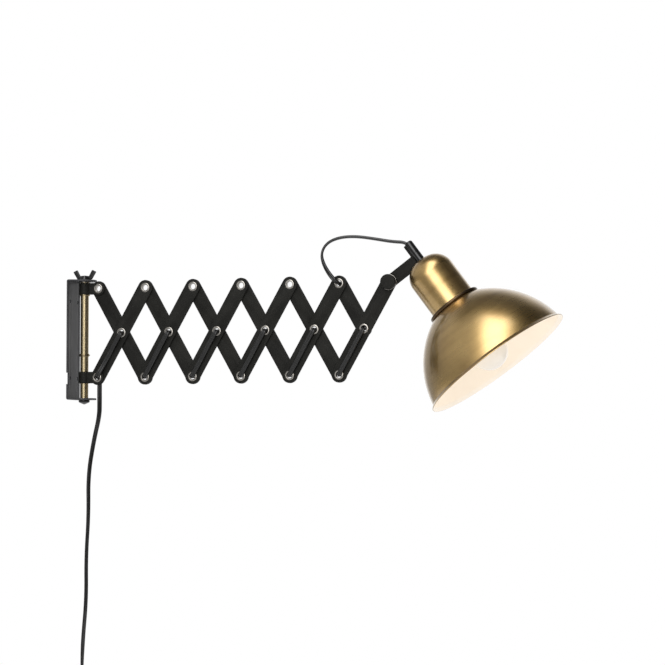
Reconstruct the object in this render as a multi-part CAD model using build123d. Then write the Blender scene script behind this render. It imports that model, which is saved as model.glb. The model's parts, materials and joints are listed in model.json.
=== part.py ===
from build123d import *
import math
import os

# Accordion wall lamp. Millimetres, +Z up. The origin is on the wall, at the centre of the bracket
# plate's back face. +X points out of the wall along the arm, +Y points to the arm's back side.

# ---- Driving dimensions ----

# Scissor arm
LINK_PITCH = 125.0          # end pivot to end pivot of a full link
LINK_WIDTH = 18.4
LINK_THICK = 2.0
FOLD_ANGLE = 29.3           # of a link from the vertical, as modelled
CELLS = 6                   # crossings along the arm; the last has a half link behind
CLAMP_DROP = 0.7            # upper clamp's top under the top washer
LAYER_GAP = 0.2             # between the front and the back layer of links
CLAMP_REACH = 18.2          # tube axis to the first pivots

# Eyelets that hold the pivots, with the cord through them
EYELET_BORE_R = 3.5
EYELET_BARREL_R = 4.0
EYELET_FLANGE_R = 5.8
EYELET_FLANGE_THICK = 0.8
EYELET_FLANGE_ROUND = 0.5
PIVOT_CLEARANCE = 0.06      # radial, where a link turns on a barrel
FLANGE_CLEARANCE = 0.06     # between a flange and the link that turns under it

# Wall bracket
PLATE_WIDTH = 40.0
PLATE_HEIGHT = 147.0
SHEET_THICK = 2.0
BEND_ROUND = 2.2            # outside radius of the bends
EAR_NOSE_R = 14.8
TUBE_STANDOFF = 15.8        # wall to the tube's axis
SCREW_HOLE_R = 2.25
SCREW_SPACING_Y = 24.0
SCREW_SPACING_Z = 94.0
NOTCH_WIDTH = 14.0
NOTCH_DEPTH = 4.0
NOTCH_Z = -47.5

# Tube, bolt and what is on them
TUBE_R = 5.0
TUBE_BORE_R = 2.8
BOLT_R = 2.5
BOLT_CLEARANCE = 0.1
BOLT_HEAD_R = 6.75
BOLT_HEAD_RIM = 2.6
BOLT_HEAD_POINT = 2.9
BOLT_ABOVE_EAR = 5.6
NUT_HUB_R = 6.2
NUT_HUB_TOP_R = 5.0
NUT_HUB_HEIGHT = 5.2
WING_UNDER = 0.8            # underside of the wings above the ear
WING_KNEE = 9.4             # from the axis, where the underside turns up
WING_REACH = 15.1
WING_TOP = 12.8
WING_TIP_SPAN = 5.4
WING_TIP_DROP = 2.6
WING_CROTCH_R = 5.2
WING_CROTCH_Z = 4.4
WING_TIP_ROUND = 1.0
WING_KNEE_ROUND = 2.5
WING_THICK = 2.2
WING_BORE_CLEARANCE = 0.08
STOP_RING_R = 7.0
STOP_RING_HEIGHT = 3.4
STOP_RING_TOP_Z = -17.0
REST_RING_R = 6.4
REST_RING_HEIGHT = 1.4
TOP_WASHER_R = 7.4
TOP_WASHER_THICK = 1.0
RING_CLEARANCE = 0.1

# Clamps: a strip folded round the tube, its two leaves on either side of a link
STRIP_HEIGHT = 14.0
STRIP_THICK = 2.0
STRIP_EYE_R = 8.2
TUBE_CLEARANCE = 0.1        # radial, clamp on tube
STACK_CLEARANCE = 0.3       # along the tube, between clamp and rings

# Flat twin cord
CORD_WIDTH = 5.8
CORD_THICK = 3.1
CORD_LIFT = 4.7             # middle of the cord from the arm's mid-plane, where it lies on a link
CORD_LIFT_OVER_CLAMP = 6.9
CORD_EXIT_BEND = 3.2
CORD_STEP_NEAR = 9.5        # from the clamp's pivot: start and end of the step down to the link
CORD_STEP_FAR = 21.0
CORD_STEP_BEND = 12.0
ROUND_CORD_R = 2.2          # of the free cord, a round tube of the same section area
LEAD_EXIT_BEND = 4.4        # where the supply lead turns down out of the lowest eyelet

# Tilt joint
JOINT_BOLT_R = 3.0
JOINT_CAP_R = 9.0
JOINT_CAP_THICK = 6.4
JOINT_CAP_ROUND = 0.8
JOINT_WASHER_R = 9.4
JOINT_WASHER_THICK = 0.8
JOINT_NUT_R = 5.5
JOINT_NUT_HEIGHT = 4.4
JOINT_BOLT_END = 2.0

# Head: lengths along its axis from the head's reference point, which lies on the stem
HEAD_REACH = 29.15          # from the tilt joint to the reference point
HEAD_RISE = 37.6            # above the upper row of pivots
HEAD_TILT = 53.3            # of the axis below the horizontal
HEAD_ARM_WIDTH = 15.5
HEAD_ARM_LEG = 2.3
HEAD_ARM_LEG_TOP = -9.8
HEAD_ARM_CLEARANCE = 0.3    # between the arm's cut edge and the cup's shoulder
STEM_R = 5.0
STEM_BORE_R = 3.6
STEM_TOP = -10.2
STEM_JOINT = 4.4
CORD_ENTRY = 1.2            # above the stem, where the loop turns into it
STEM_JOINT_GROOVE = 0.3
STEM_GRIP = 8.0             # length of stem screwed into the lampholder
STEM_NUT_R = 8.0
STEM_NUT_HEIGHT = 5.0
STEM_NUT_DROP = 0.15        # the nut's corners stay off the cup's round shoulder
CUP_TOP = 16.0
CUP_R = 28.0
CUP_SHOULDER_R = 22.0
CUP_WALL = 1.2
CUP_LENGTH = 64.5
COLLAR_R = 33.0
COLLAR_THICK = 4.0
COLLAR_ROUND = 1.6
HOLDER_R = 14.0
HOLDER_FLANGE_R = 18.0
HOLDER_FLANGE_THICK = 2.5
HOLDER_TOP = 62.0
HOLDER_MOUTH = 118.0
HOLDER_CAP = 6.0            # solid top of the lampholder under the stem
HOLDER_CLEARANCE = 0.15
SHADE_NECK_R = 32.0
SHADE_RIM_R = 90.0
SHADE_DEPTH = 80.5          # neck to where the lip starts
SHADE_CURVE_R = 109.5
SHADE_WALL = 1.0
LIP_R = 93.6
LIP_RISE = 4.0
SHADE_RING_R = 19.5
SHADE_RING_THICK = 5.0

# Bulb: small globe on a 14 mm screw base
BULB_R = 22.5
BULB_CENTRE = 150.5
BULB_WALL = 1.0
BASE_R = 6.9
BASE_LENGTH = 22.0
BASE_WALL = 0.6
BASE_THREAD_DEPTH = 0.5
BASE_THREAD_PITCH = 2.8
BASE_THREADS = 5
HOLDER_BORE_CLEARANCE = 0.4

# Put-away coil of the supply lead, wound in two layers
COIL_TURNS = 7
COIL_MID_R = 30.9
COIL_PITCH = 5.0
COIL_X = 52.5
COIL_Z = -446.0
COIL_START = 5.0            # straight length before the first turn
COIL_TAIL = 30.0            # straight length from the last turn to the plug
COIL_LEAD_IN = 30.0         # length of lead in line with the coil's start
TIE_THICK = 1.4
TIE_WIDTH = 6.0
TIE_CLEARANCE = 0.6

# Plug: flat, two round pins
PLUG_WIDTH = 34.0
PLUG_THICK = 13.6
PLUG_LENGTH = 36.0
PLUG_NECK_WIDTH = 11.0
PLUG_NECK_THICK = 9.0
PLUG_WAIST = 22.0           # height above the face where the sides start to draw in
PLUG_CORNER = 4.0
PIN_R = 2.0
PIN_LENGTH = 19.0
PIN_SPACING = 19.0

# ---- Worked out from them ----

PITCH_X = LINK_PITCH * math.sin(math.radians(FOLD_ANGLE))
ROW_HEIGHT = LINK_PITCH * math.cos(math.radians(FOLD_ANGLE))
FIRST_PIVOT_X = TUBE_STANDOFF + CLAMP_REACH

FRONT = -(LAYER_GAP / 2 + LINK_THICK)       # outer face of the front links
BACK = LAYER_GAP / 2 + LINK_THICK           # outer face of the back links
FRONT_INNER = -LAYER_GAP / 2
BACK_INNER = LAYER_GAP / 2

EAR_TOP_Z = PLATE_HEIGHT / 2
EAR_UNDER_Z = EAR_TOP_Z - SHEET_THICK
TOP_PIVOT_Z = EAR_UNDER_Z - TOP_WASHER_THICK - CLAMP_DROP - STRIP_HEIGHT / 2   # upper row

HEAD_X = FIRST_PIVOT_X + CELLS * PITCH_X + HEAD_REACH
HEAD_Y = (BACK + BACK_INNER) / 2            # the head hangs in the plane of the back links
HEAD_Z = TOP_PIVOT_Z + HEAD_RISE
CUP_MOUTH = CUP_TOP + CUP_LENGTH
COLLAR_END = CUP_MOUTH + COLLAR_THICK
SHADE_TOP_END = COLLAR_END + SHADE_WALL
SHADE_LIP_START = COLLAR_END + SHADE_DEPTH
BASE_TOP = HOLDER_MOUTH - BASE_LENGTH
BASE_ROOT_R = BASE_R - BASE_THREAD_DEPTH
BULB_NECK_R = BASE_ROOT_R - BASE_WALL       # the glass neck sits in the base

parts = {}


def top_pivot(column):
    """Point of the upper row of pivots, 0 at the wall."""
    return Vector(FIRST_PIVOT_X + PITCH_X * column, 0, TOP_PIVOT_Z)


def bottom_pivot(column):
    """Point of the lower row of pivots, 0 at the wall."""
    return top_pivot(column) - Vector(0, 0, ROW_HEIGHT)


def crossing(number):
    """Crossing point of the link pair with this number, 1 at the wall."""
    return (bottom_pivot(number - 1) + top_pivot(number)) * 0.5


# ---- Helpers ----

def slab(y_from, y_to, outline):
    """Solid between two values of Y of an outline drawn in X and Z."""
    return extrude(Plane.XZ.offset(-y_to) * outline, amount=y_to - y_from)


def disc(centre, radius):
    """Circle in X and Z about a point of the arm."""
    return Pos(centre.X, centre.Z) * Circle(radius)


def upright(radius, z_from, z_to):
    """Cylinder on the tube's axis between two heights."""
    return Pos(TUBE_STANDOFF, 0, (z_from + z_to) / 2) * Cylinder(radius, z_to - z_from)


def eyelet(centre, y_front, y_back):
    """Tubular eyelet whose flanges sit on two outer faces."""
    front_end = y_front - EYELET_FLANGE_THICK
    back_end = y_back + EYELET_FLANGE_THICK
    bore = disc(centre, EYELET_BORE_R)
    body = slab(y_front, y_back, disc(centre, EYELET_BARREL_R) - bore)
    for start, end, outer in ((front_end, y_front, front_end), (y_back, back_end, back_end)):
        flange = slab(start, end, disc(centre, EYELET_FLANGE_R) - bore)
        rim = flange.edges().filter_by(lambda e: abs(e.center().Y - outer) < 0.01)
        body += fillet(rim.filter_by(lambda e: e.radius > EYELET_BARREL_R), EYELET_FLANGE_ROUND)
    return body


def tube_path(name, points, exit_bend=None):
    """Straight runs joined by arcs as large as the runs allow; prints the radii."""
    corners = [Vector(*point) for point in points]
    radii = []
    for before, corner, after in zip(corners, corners[1:], corners[2:]):
        run_in = corner - before
        run_out = after - corner
        half_turn = math.radians(run_in.get_angle(run_out) / 2)
        radii.append(0.45 * min(run_in.length, run_out.length) / math.tan(half_turn))
    if exit_bend is not None:
        radii[0] = exit_bend
    path = FilletPolyline(*corners, radius=radii)
    print(name, "length", round(path.length, 1), "radii", [round(r, 1) for r in radii])
    return path


def round_tube(name, path):
    """Round cord along a path, its volume compared with section times length."""
    section = Plane(origin=path @ 0, z_dir=path % 0) * Circle(ROUND_CORD_R)
    tube = sweep(section, path=path)
    ratio = tube.volume / (math.pi * ROUND_CORD_R ** 2 * path.length)
    print(name, "volume ratio", round(ratio, 4))
    return tube


# ---- Wall bracket ----

def wall_bracket():
    """Plate with two bent ears that taper to a round nose on the tube's axis."""
    plate = Pos(SHEET_THICK / 2, 0, 0) * Box(SHEET_THICK, PLATE_WIDTH, PLATE_HEIGHT)
    nose = Pos(TUBE_STANDOFF, 0) * Circle(EAR_NOSE_R)
    foot = Pos(SHEET_THICK / 2, 0) * Rectangle(SHEET_THICK, PLATE_WIDTH)
    outline = make_hull(nose.edges() + foot.edges())
    upper_ear = Pos(0, 0, EAR_UNDER_Z) * extrude(outline, amount=SHEET_THICK)
    lower_ear = Pos(0, 0, -EAR_TOP_Z) * extrude(outline, amount=SHEET_THICK)
    body = plate + upper_ear + lower_ear
    bends = body.edges().filter_by(Axis.Y).filter_by(
        lambda e: abs(e.center().X) < 0.01 and abs(e.center().Z) > EAR_UNDER_Z
    )
    body = fillet(bends, BEND_ROUND)
    body -= upright(BOLT_R + BOLT_CLEARANCE, -PLATE_HEIGHT, PLATE_HEIGHT)
    for y in (-SCREW_SPACING_Y / 2, SCREW_SPACING_Y / 2):
        for z in (-SCREW_SPACING_Z / 2, SCREW_SPACING_Z / 2):
            body -= Pos(0, y, z) * Rot(0, 90, 0) * Cylinder(SCREW_HOLE_R, 4 * SHEET_THICK)
    notch = Rot(0, 90, 0) * Box(NOTCH_WIDTH, 2 * NOTCH_DEPTH, 4 * SHEET_THICK)
    return body - Pos(0, -PLATE_WIDTH / 2, NOTCH_Z) * notch


def through_bolt():
    """Bolt through ears and tube, with a low pointed head under the lower ear."""
    head_top = -EAR_TOP_Z
    profile = Polyline(
        (0, head_top),
        (BOLT_HEAD_R, head_top),
        (BOLT_HEAD_R, head_top - BOLT_HEAD_RIM),
        (0, head_top - BOLT_HEAD_RIM - BOLT_HEAD_POINT),
        close=True,
    )
    head = Pos(TUBE_STANDOFF, 0, 0) * revolve(Plane.XZ * make_face(profile), Axis.Z)
    return head + upright(BOLT_R, head_top, EAR_TOP_Z + BOLT_ABOVE_EAR)


def wing_nut():
    """Hub with two wings that rise outwards, turning on the bolt's thread."""
    hub = extrude(Circle(NUT_HUB_R), amount=NUT_HUB_HEIGHT)
    hub = chamfer(hub.edges().group_by(Axis.Z)[-1], NUT_HUB_R - NUT_HUB_TOP_R)
    wing_line = Polyline(
        (0, WING_UNDER),
        (WING_KNEE, WING_UNDER),
        (WING_REACH, WING_TOP - WING_TIP_DROP),
        (WING_REACH - WING_TIP_SPAN, WING_TOP),
        (WING_CROTCH_R, WING_CROTCH_Z),
        (0, WING_CROTCH_Z),
        close=True,
    )
    wing = extrude(Plane.XZ * make_face(wing_line), amount=WING_THICK / 2, both=True)
    tips = wing.edges().filter_by(Axis.Y).filter_by(lambda e: e.center().Z > WING_CROTCH_Z + 1)
    wing = fillet(tips, WING_TIP_ROUND)
    knee = wing.edges().filter_by(Axis.Y).filter_by(lambda e: abs(e.center().X - WING_KNEE) < 0.01)
    wing = fillet(knee, WING_KNEE_ROUND)
    nut = hub + wing + Rot(0, 0, 180) * wing
    nut -= Cylinder(BOLT_R + WING_BORE_CLEARANCE, 3 * WING_TOP)
    return Pos(TUBE_STANDOFF, 0, EAR_TOP_Z) * nut


def ring_on_tube(radius, z_from, z_to, inner=TUBE_R):
    """Ring round the tube with softened rims."""
    ring = upright(radius, z_from, z_to)
    rims = ring.edges().filter_by(GeomType.CIRCLE)
    ring = fillet(rims, min(0.5, 0.3 * (z_to - z_from)))
    return ring - upright(inner, z_from - 1, z_to + 1)


parts["wall_bracket"] = wall_bracket()
parts["swivel_tube"] = upright(TUBE_R, -EAR_UNDER_Z, EAR_UNDER_Z) - upright(
    TUBE_BORE_R, -PLATE_HEIGHT, PLATE_HEIGHT
)
parts["through_bolt"] = through_bolt()
parts["wing_nut"] = wing_nut()
parts["stop_ring"] = ring_on_tube(
    STOP_RING_R, STOP_RING_TOP_Z - STOP_RING_HEIGHT, STOP_RING_TOP_Z
)
rest_top = TOP_PIVOT_Z - STRIP_HEIGHT / 2 - STACK_CLEARANCE
parts["rest_ring"] = ring_on_tube(REST_RING_R, rest_top - REST_RING_HEIGHT, rest_top)
washer_top = EAR_UNDER_Z
parts["top_washer"] = ring_on_tube(
    TOP_WASHER_R, washer_top - TOP_WASHER_THICK, washer_top, TUBE_R + RING_CLEARANCE
)


# ---- Clamps ----

def clamp(pivot, link_from, link_to):
    """Strip folded round the tube, with two leaves that hold a link end between them."""
    barrel_r = TUBE_R + TUBE_CLEARANCE
    height = Pos(TUBE_STANDOFF, 0, pivot.Z)
    body = height * Cylinder(barrel_r + STRIP_THICK, STRIP_HEIGHT)
    arm = Pos((TUBE_STANDOFF + pivot.X) / 2, pivot.Z) * Rectangle(CLAMP_REACH, STRIP_HEIGHT)
    leaf = arm + disc(pivot, STRIP_EYE_R)
    near = link_from - FLANGE_CLEARANCE
    far = link_to + FLANGE_CLEARANCE
    body += slab(near - STRIP_THICK, near, leaf)
    body += slab(far, far + STRIP_THICK, leaf)
    body -= slab(near, far, Pos(pivot.X, pivot.Z) * Rectangle(2 * CLAMP_REACH, 3 * STRIP_HEIGHT))
    body -= height * Cylinder(barrel_r, 2 * STRIP_HEIGHT)
    return body - slab(-2 * CLAMP_REACH, 2 * CLAMP_REACH, disc(pivot, EYELET_BARREL_R))


def clamp_faces(link_from, link_to):
    """Outer faces of the two leaves about a link."""
    reach = FLANGE_CLEARANCE + STRIP_THICK
    return link_from - reach, link_to + reach


parts["upper_clamp"] = clamp(top_pivot(0), BACK_INNER, BACK)
parts["upper_eyelet"] = eyelet(top_pivot(0), *clamp_faces(BACK_INNER, BACK))
parts["lower_clamp"] = clamp(bottom_pivot(0), FRONT, FRONT_INNER)
parts["lower_eyelet"] = eyelet(bottom_pivot(0), *clamp_faces(FRONT, FRONT_INNER))


# ---- Links, eyelets and the cord laced along them ----

def link(start, end, y_from, y_to, holes):
    """Flat bar with round ends from pivot to pivot, with a hole of each given radius."""
    middle = (start + end) * 0.5
    span = end - start
    angle = math.degrees(math.atan2(span.Z, span.X))
    outline = Pos(middle.X, middle.Z) * Rot(0, 0, angle) * SlotCenterToCenter(span.length, LINK_WIDTH)
    for centre, radius in holes:
        outline -= disc(centre, radius)
    return slab(y_from, y_to, outline)


def laced_cord(start, end, lift, start_lift=None):
    """Flat cord out of one eyelet, along the link and into the next, on the lift's side."""
    along = (end - start).normalized()
    side = Vector(0, 1, 0)
    points = [start]
    radii = [CORD_EXIT_BEND]
    if start_lift is None:
        points.append(start + side * lift)
    else:
        points.append(start + side * start_lift)
        points.append(start + side * start_lift + along * CORD_STEP_NEAR)
        points.append(start + side * lift + along * CORD_STEP_FAR)
        radii += [CORD_STEP_BEND, CORD_STEP_BEND]
    points += [end + side * lift, end]
    radii.append(CORD_EXIT_BEND)
    path = FilletPolyline(*points, radius=radii)
    across = along.cross(side)
    section = Plane(origin=start, x_dir=across, z_dir=path % 0) * SlotOverall(CORD_WIDTH, CORD_THICK)
    return sweep(section, path=path)


own_hole = EYELET_BARREL_R
running_hole = EYELET_BARREL_R + PIVOT_CLEARANCE
joint_hole = JOINT_BOLT_R + PIVOT_CLEARANCE
eyelet_back = BACK + FLANGE_CLEARANCE

for number in range(1, CELLS + 1):
    low = bottom_pivot(number - 1)
    middle = crossing(number)
    high = top_pivot(number)
    first = number == 1
    last = number == CELLS
    parts[f"front_link_{number}"] = link(
        low, high, FRONT, FRONT_INNER,
        [
            (low, running_hole if first else own_hole),
            (middle, own_hole),
            (high, joint_hole if last else own_hole),
        ],
    )
    pivots = [middle] if first else [low, middle]
    pivots += [] if last else [high]
    group = [eyelet(pivot, FRONT, eyelet_back) for pivot in pivots]
    parts[f"link_eyelets_{number}"] = Compound(children=group)
    parts[f"front_cord_{number}"] = laced_cord(
        low, middle, -CORD_LIFT, -CORD_LIFT_OVER_CLAMP if first else None
    )
    if last:
        parts["half_link"] = link(
            top_pivot(number - 1), middle, BACK_INNER, BACK,
            [(top_pivot(number - 1), running_hole), (middle, running_hole)],
        )
        parts["half_link_cord"] = laced_cord(middle, top_pivot(number - 1), CORD_LIFT)
    else:
        ends = (top_pivot(number - 1), bottom_pivot(number))
        parts[f"back_link_{number}"] = link(
            ends[0], ends[1], BACK_INNER, BACK,
            [(pivot, running_hole) for pivot in (ends[0], middle, ends[1])],
        )
        parts[f"back_cord_{number}"] = laced_cord(middle, ends[1], CORD_LIFT)


# ---- Head ----

head_axis = Vector(
    math.cos(math.radians(HEAD_TILT)), 0, -math.sin(math.radians(HEAD_TILT))
)
head_plane = Plane(
    origin=(HEAD_X, HEAD_Y, HEAD_Z), x_dir=(-head_axis.Z, 0, head_axis.X), z_dir=head_axis
)


def head_point(along, off):
    """Point of the head's plane from lengths along and off its axis."""
    return head_plane.from_local_coords(Vector(off, 0, along))


def turned(outline):
    """Solid of revolution on the head's axis from points or edges (radius, along)."""
    face = make_face(outline)
    return head_plane.location * revolve(Plane.XZ * face, Axis.Z)


def outward_arc(inner_end, outer_end, radius):
    """Arc in (radius, along) that bulges away from the axis and towards the stem."""
    chord = Vector(*outer_end) - Vector(*inner_end)
    middle = (Vector(*outer_end) + Vector(*inner_end)) * 0.5
    rise = radius - math.sqrt(radius ** 2 - (chord.length / 2) ** 2)
    normal = Vector(chord.Y, -chord.X).normalized()
    return ThreePointArc(inner_end, middle + normal * rise, outer_end)


def ring_on_axis(inner, outer, start, end):
    """Plain ring about the head's axis."""
    return turned(
        Polyline((inner, start), (outer, start), (outer, end), (inner, end), close=True)
    )


def head_arm():
    """Flat L-shaped arm from the tilt joint to the stem, welded along the stem's side."""
    pivot = head_plane.to_local_coords(top_pivot(CELLS))
    along = pivot.Z
    half = HEAD_ARM_WIDTH / 2
    arm = Pos(pivot.X / 2, along) * Rectangle(-pivot.X, HEAD_ARM_WIDTH)
    leg_length = along + half - HEAD_ARM_LEG_TOP
    leg_width = STEM_R + HEAD_ARM_LEG
    leg = Pos(-leg_width / 2, HEAD_ARM_LEG_TOP + leg_length / 2) * Rectangle(leg_width, leg_length)
    outline = arm + leg + Pos(pivot.X, along) * Circle(half)
    outline -= Pos(pivot.X, along) * Circle(JOINT_BOLT_R)
    plate = extrude(Plane.XZ * outline, amount=LINK_THICK / 2, both=True)
    inner_corner = plate.edges().filter_by(Axis.Y).filter_by(
        lambda e: abs(e.center().X + leg_width) < 0.01 and abs(e.center().Z - along + half) < 0.01
    )
    plate = fillet(inner_corner, HEAD_ARM_LEG / 2)
    plate -= Cylinder(STEM_R, 10 * CUP_LENGTH)
    return head_plane.location * plate - cup_form(HEAD_ARM_CLEARANCE)


def stem_tube():
    """Stem from above the arm down into the lampholder, with a fine joint line."""
    body = ring_on_axis(STEM_BORE_R, STEM_R, STEM_TOP, HOLDER_TOP + STEM_GRIP)
    groove = ring_on_axis(
        STEM_R - STEM_JOINT_GROOVE, 2 * STEM_R, STEM_JOINT, STEM_JOINT + STEM_JOINT_GROOVE
    )
    return body - groove


def cup_form(growth, length=CUP_LENGTH):
    """Full solid of the cup's outside, grown by a clearance or shrunk by the wall."""
    flat_r = CUP_R - CUP_SHOULDER_R
    top = CUP_TOP - growth
    side = CUP_R + growth
    shoulder_end = CUP_TOP + CUP_SHOULDER_R
    mouth = CUP_TOP + length
    outline = Polyline((0, mouth), (0, top), (flat_r, top))
    outline += outward_arc((flat_r, top), (side, shoulder_end), CUP_SHOULDER_R + growth)
    outline += Polyline((side, shoulder_end), (side, mouth), (0, mouth))
    return turned(outline)


def socket_cup():
    """Deep-drawn cup with a round shoulder, open at the shade's side."""
    stem_hole = ring_on_axis(0, STEM_R, CUP_TOP - 1, CUP_MOUTH)
    return cup_form(0) - cup_form(-CUP_WALL, CUP_LENGTH + 1) - stem_hole


def collar_ring():
    """Dark ring between cup and shade, its outer rims rounded."""
    ring = ring_on_axis(HOLDER_R + HOLDER_CLEARANCE, COLLAR_R, CUP_MOUTH, COLLAR_END)
    rims = ring.edges().filter_by(GeomType.CIRCLE).filter_by(lambda e: e.radius > COLLAR_R - 0.01)
    return fillet(rims, COLLAR_ROUND)


def wall_curve(inner_end, outer_end, radius):
    """Cubic that follows such an arc to a few microns, its centre being beyond the axis."""
    arc = outward_arc(inner_end, outer_end, radius)
    turn = (arc % 0).get_angle(arc % 1)
    handle = radius * 4 / 3 * math.tan(math.radians(turn) / 4)
    return Bezier(inner_end, arc @ 0 + (arc % 0) * handle, arc @ 1 - (arc % 1) * handle, outer_end)


def shade():
    """Spun bowl: flat neck on the collar, one round wall and a lip that flares out."""
    neck = HOLDER_R + HOLDER_CLEARANCE
    wall_in = SHADE_WALL
    outline = Line((neck, COLLAR_END), (SHADE_NECK_R, COLLAR_END))
    outline += wall_curve(
        (SHADE_NECK_R, COLLAR_END), (SHADE_RIM_R, SHADE_LIP_START), SHADE_CURVE_R
    )
    outline += Polyline(
        (SHADE_RIM_R, SHADE_LIP_START),
        (LIP_R, SHADE_LIP_START + LIP_RISE - wall_in),
        (LIP_R, SHADE_LIP_START + LIP_RISE),
        (LIP_R - wall_in, SHADE_LIP_START + LIP_RISE),
        (SHADE_RIM_R - wall_in, SHADE_LIP_START + wall_in / 2),
    )
    outline += wall_curve(
        (SHADE_NECK_R - wall_in / 2, SHADE_TOP_END),
        (SHADE_RIM_R - wall_in, SHADE_LIP_START + wall_in / 2),
        SHADE_CURVE_R - wall_in,
    )
    outline += Polyline(
        (SHADE_NECK_R - wall_in / 2, SHADE_TOP_END), (neck, SHADE_TOP_END), (neck, COLLAR_END)
    )
    return turned(outline)


def lampholder():
    """Lampholder: capped at the stem, a flange above the collar, a bore for the bulb."""
    body = ring_on_axis(STEM_R, HOLDER_R, HOLDER_TOP, HOLDER_TOP + STEM_GRIP)
    body += ring_on_axis(STEM_BORE_R, HOLDER_R, HOLDER_TOP + STEM_GRIP, HOLDER_TOP + STEM_GRIP + HOLDER_CAP)
    bore_r = BASE_R + HOLDER_BORE_CLEARANCE
    body += ring_on_axis(bore_r, HOLDER_R, HOLDER_TOP + STEM_GRIP + HOLDER_CAP, HOLDER_MOUTH)
    flange_start = CUP_MOUTH - HOLDER_FLANGE_THICK
    return body + ring_on_axis(HOLDER_R, HOLDER_FLANGE_R, flange_start, CUP_MOUTH)


def bulb_base():
    """Screw base: a cup with round thread crests and a contact that reaches the lampholder."""
    crest = BASE_THREAD_PITCH / 2
    thread_start = BASE_TOP + BASE_WALL + BASE_THREAD_PITCH
    root_r = BASE_ROOT_R
    body = ring_on_axis(root_r - BASE_WALL, root_r, BASE_TOP + BASE_WALL, HOLDER_MOUTH)
    for turn in range(BASE_THREADS):
        start = thread_start + turn * BASE_THREAD_PITCH
        arc = ThreePointArc((root_r, start), (BASE_R, start + crest / 2), (root_r, start + crest))
        body += turned(arc + Line((root_r, start + crest), (root_r, start)))
    contact_start = HOLDER_TOP + STEM_GRIP + HOLDER_CAP
    contact = Polyline(
        (0, contact_start), (BOLT_R, contact_start), (root_r, BASE_TOP),
        (root_r, BASE_TOP + BASE_WALL), (0, BASE_TOP + BASE_WALL), close=True,
    )
    return body + turned(contact)


def bulb_glass():
    """Opal globe with a short neck down into the base."""
    inner_r = BULB_R - BULB_WALL
    neck_in = BULB_NECK_R - BULB_WALL
    neck_end = HOLDER_MOUTH - BASE_WALL * 4
    meet = BULB_CENTRE - math.sqrt(BULB_R ** 2 - BULB_NECK_R ** 2)
    meet_in = BULB_CENTRE - math.sqrt(inner_r ** 2 - neck_in ** 2)
    outline = Line((neck_in, neck_end), (BULB_NECK_R, neck_end)) + Line(
        (BULB_NECK_R, neck_end), (BULB_NECK_R, meet)
    )
    outline += ThreePointArc((BULB_NECK_R, meet), (BULB_R, BULB_CENTRE), (0, BULB_CENTRE + BULB_R))
    outline += Line((0, BULB_CENTRE + BULB_R), (0, BULB_CENTRE + inner_r))
    outline += ThreePointArc((0, BULB_CENTRE + inner_r), (inner_r, BULB_CENTRE), (neck_in, meet_in))
    outline += Line((neck_in, meet_in), (neck_in, neck_end))
    return turned(outline)


parts["head_arm"] = head_arm()
parts["stem_tube"] = stem_tube()
nut_start = CUP_TOP + CUP_WALL + STEM_NUT_DROP
nut_outline = RegularPolygon(STEM_NUT_R, 6) - Circle(STEM_R)
parts["stem_nut"] = head_plane.location * Pos(0, 0, nut_start) * extrude(
    nut_outline, amount=STEM_NUT_HEIGHT
)
parts["socket_cup"] = socket_cup()
parts["collar_ring"] = collar_ring()
parts["shade"] = shade()
parts["lampholder"] = lampholder()
parts["shade_ring"] = ring_on_axis(
    HOLDER_R, SHADE_RING_R, SHADE_TOP_END, SHADE_TOP_END + SHADE_RING_THICK
)
parts["bulb_base"] = bulb_base()
parts["bulb_glass"] = bulb_glass()


# ---- Tilt joint ----

joint = top_pivot(CELLS)
washer_front = FRONT - FLANGE_CLEARANCE - JOINT_WASHER_THICK
cap_front = washer_front - JOINT_CAP_THICK
nut_back = BACK + JOINT_NUT_HEIGHT
cap = slab(cap_front, washer_front, disc(joint, JOINT_CAP_R))
cap = fillet(cap.edges().group_by(Axis.Y)[0], JOINT_CAP_ROUND)
parts["joint_cap"] = cap + slab(washer_front, nut_back + JOINT_BOLT_END, disc(joint, JOINT_BOLT_R))
washer_outline = disc(joint, JOINT_WASHER_R) - disc(joint, JOINT_BOLT_R)
parts["joint_washer"] = slab(washer_front, FRONT - FLANGE_CLEARANCE, washer_outline)
hexagon = Pos(joint.X, joint.Z) * RegularPolygon(JOINT_NUT_R, 6)
parts["joint_nut"] = slab(BACK, nut_back, hexagon - disc(joint, JOINT_BOLT_R))


# ---- Free cord: loop to the head, supply lead, coil, tie and plug ----

last_eyelet = top_pivot(CELLS - 1)
stem_entry = head_point(STEM_TOP - CORD_ENTRY, 0)
stem_inside = head_point(0, 0)
# From the last upper eyelet up in a loop and over to the stem
loop_route = [
    (0, 0, 0),
    (0, -10.5, 0),
    (-8.4, -11.0, 8.7),
    (-17.0, -10.0, 22.7),
    (-20.1, -8.5, 35.7),
    (-13.6, -7.0, 47.9),
    (1.6, -5.5, 54.3),
    (21.5, -3.5, 55.2),
    (44.1, -1.0, 51.8),
    (64.3, 0.6, 48.0),
]
loop_points = [tuple(last_eyelet + Vector(*step)) for step in loop_route]
loop_points += [tuple(stem_entry), tuple(stem_inside)]
parts["loop_cord"] = round_tube("loop_cord", tube_path("loop_cord", loop_points))

first_eyelet = bottom_pivot(0)
# From the first lower eyelet down past the lower ear, clear of it when the arm opens
lead_route = [
    (0, 0, 0),
    (0, 5.6, 0),
    (-0.4, 5.6, -9.8),
    (-0.5, 6.2, -27.8),
    (-1.1, 7.6, -46.8),
    (-8.5, 8.4, -75.8),
    (-15.5, 7.6, -118.8),
    (-14.5, 7.3, -168.8),
    (-17.5, 7.0, -218.8),
    (-16.5, 6.4, -270.8),
    (-21.0, 6.2, -321.8),
]
lead_points = [tuple(first_eyelet + Vector(*step)) for step in lead_route]


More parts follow.
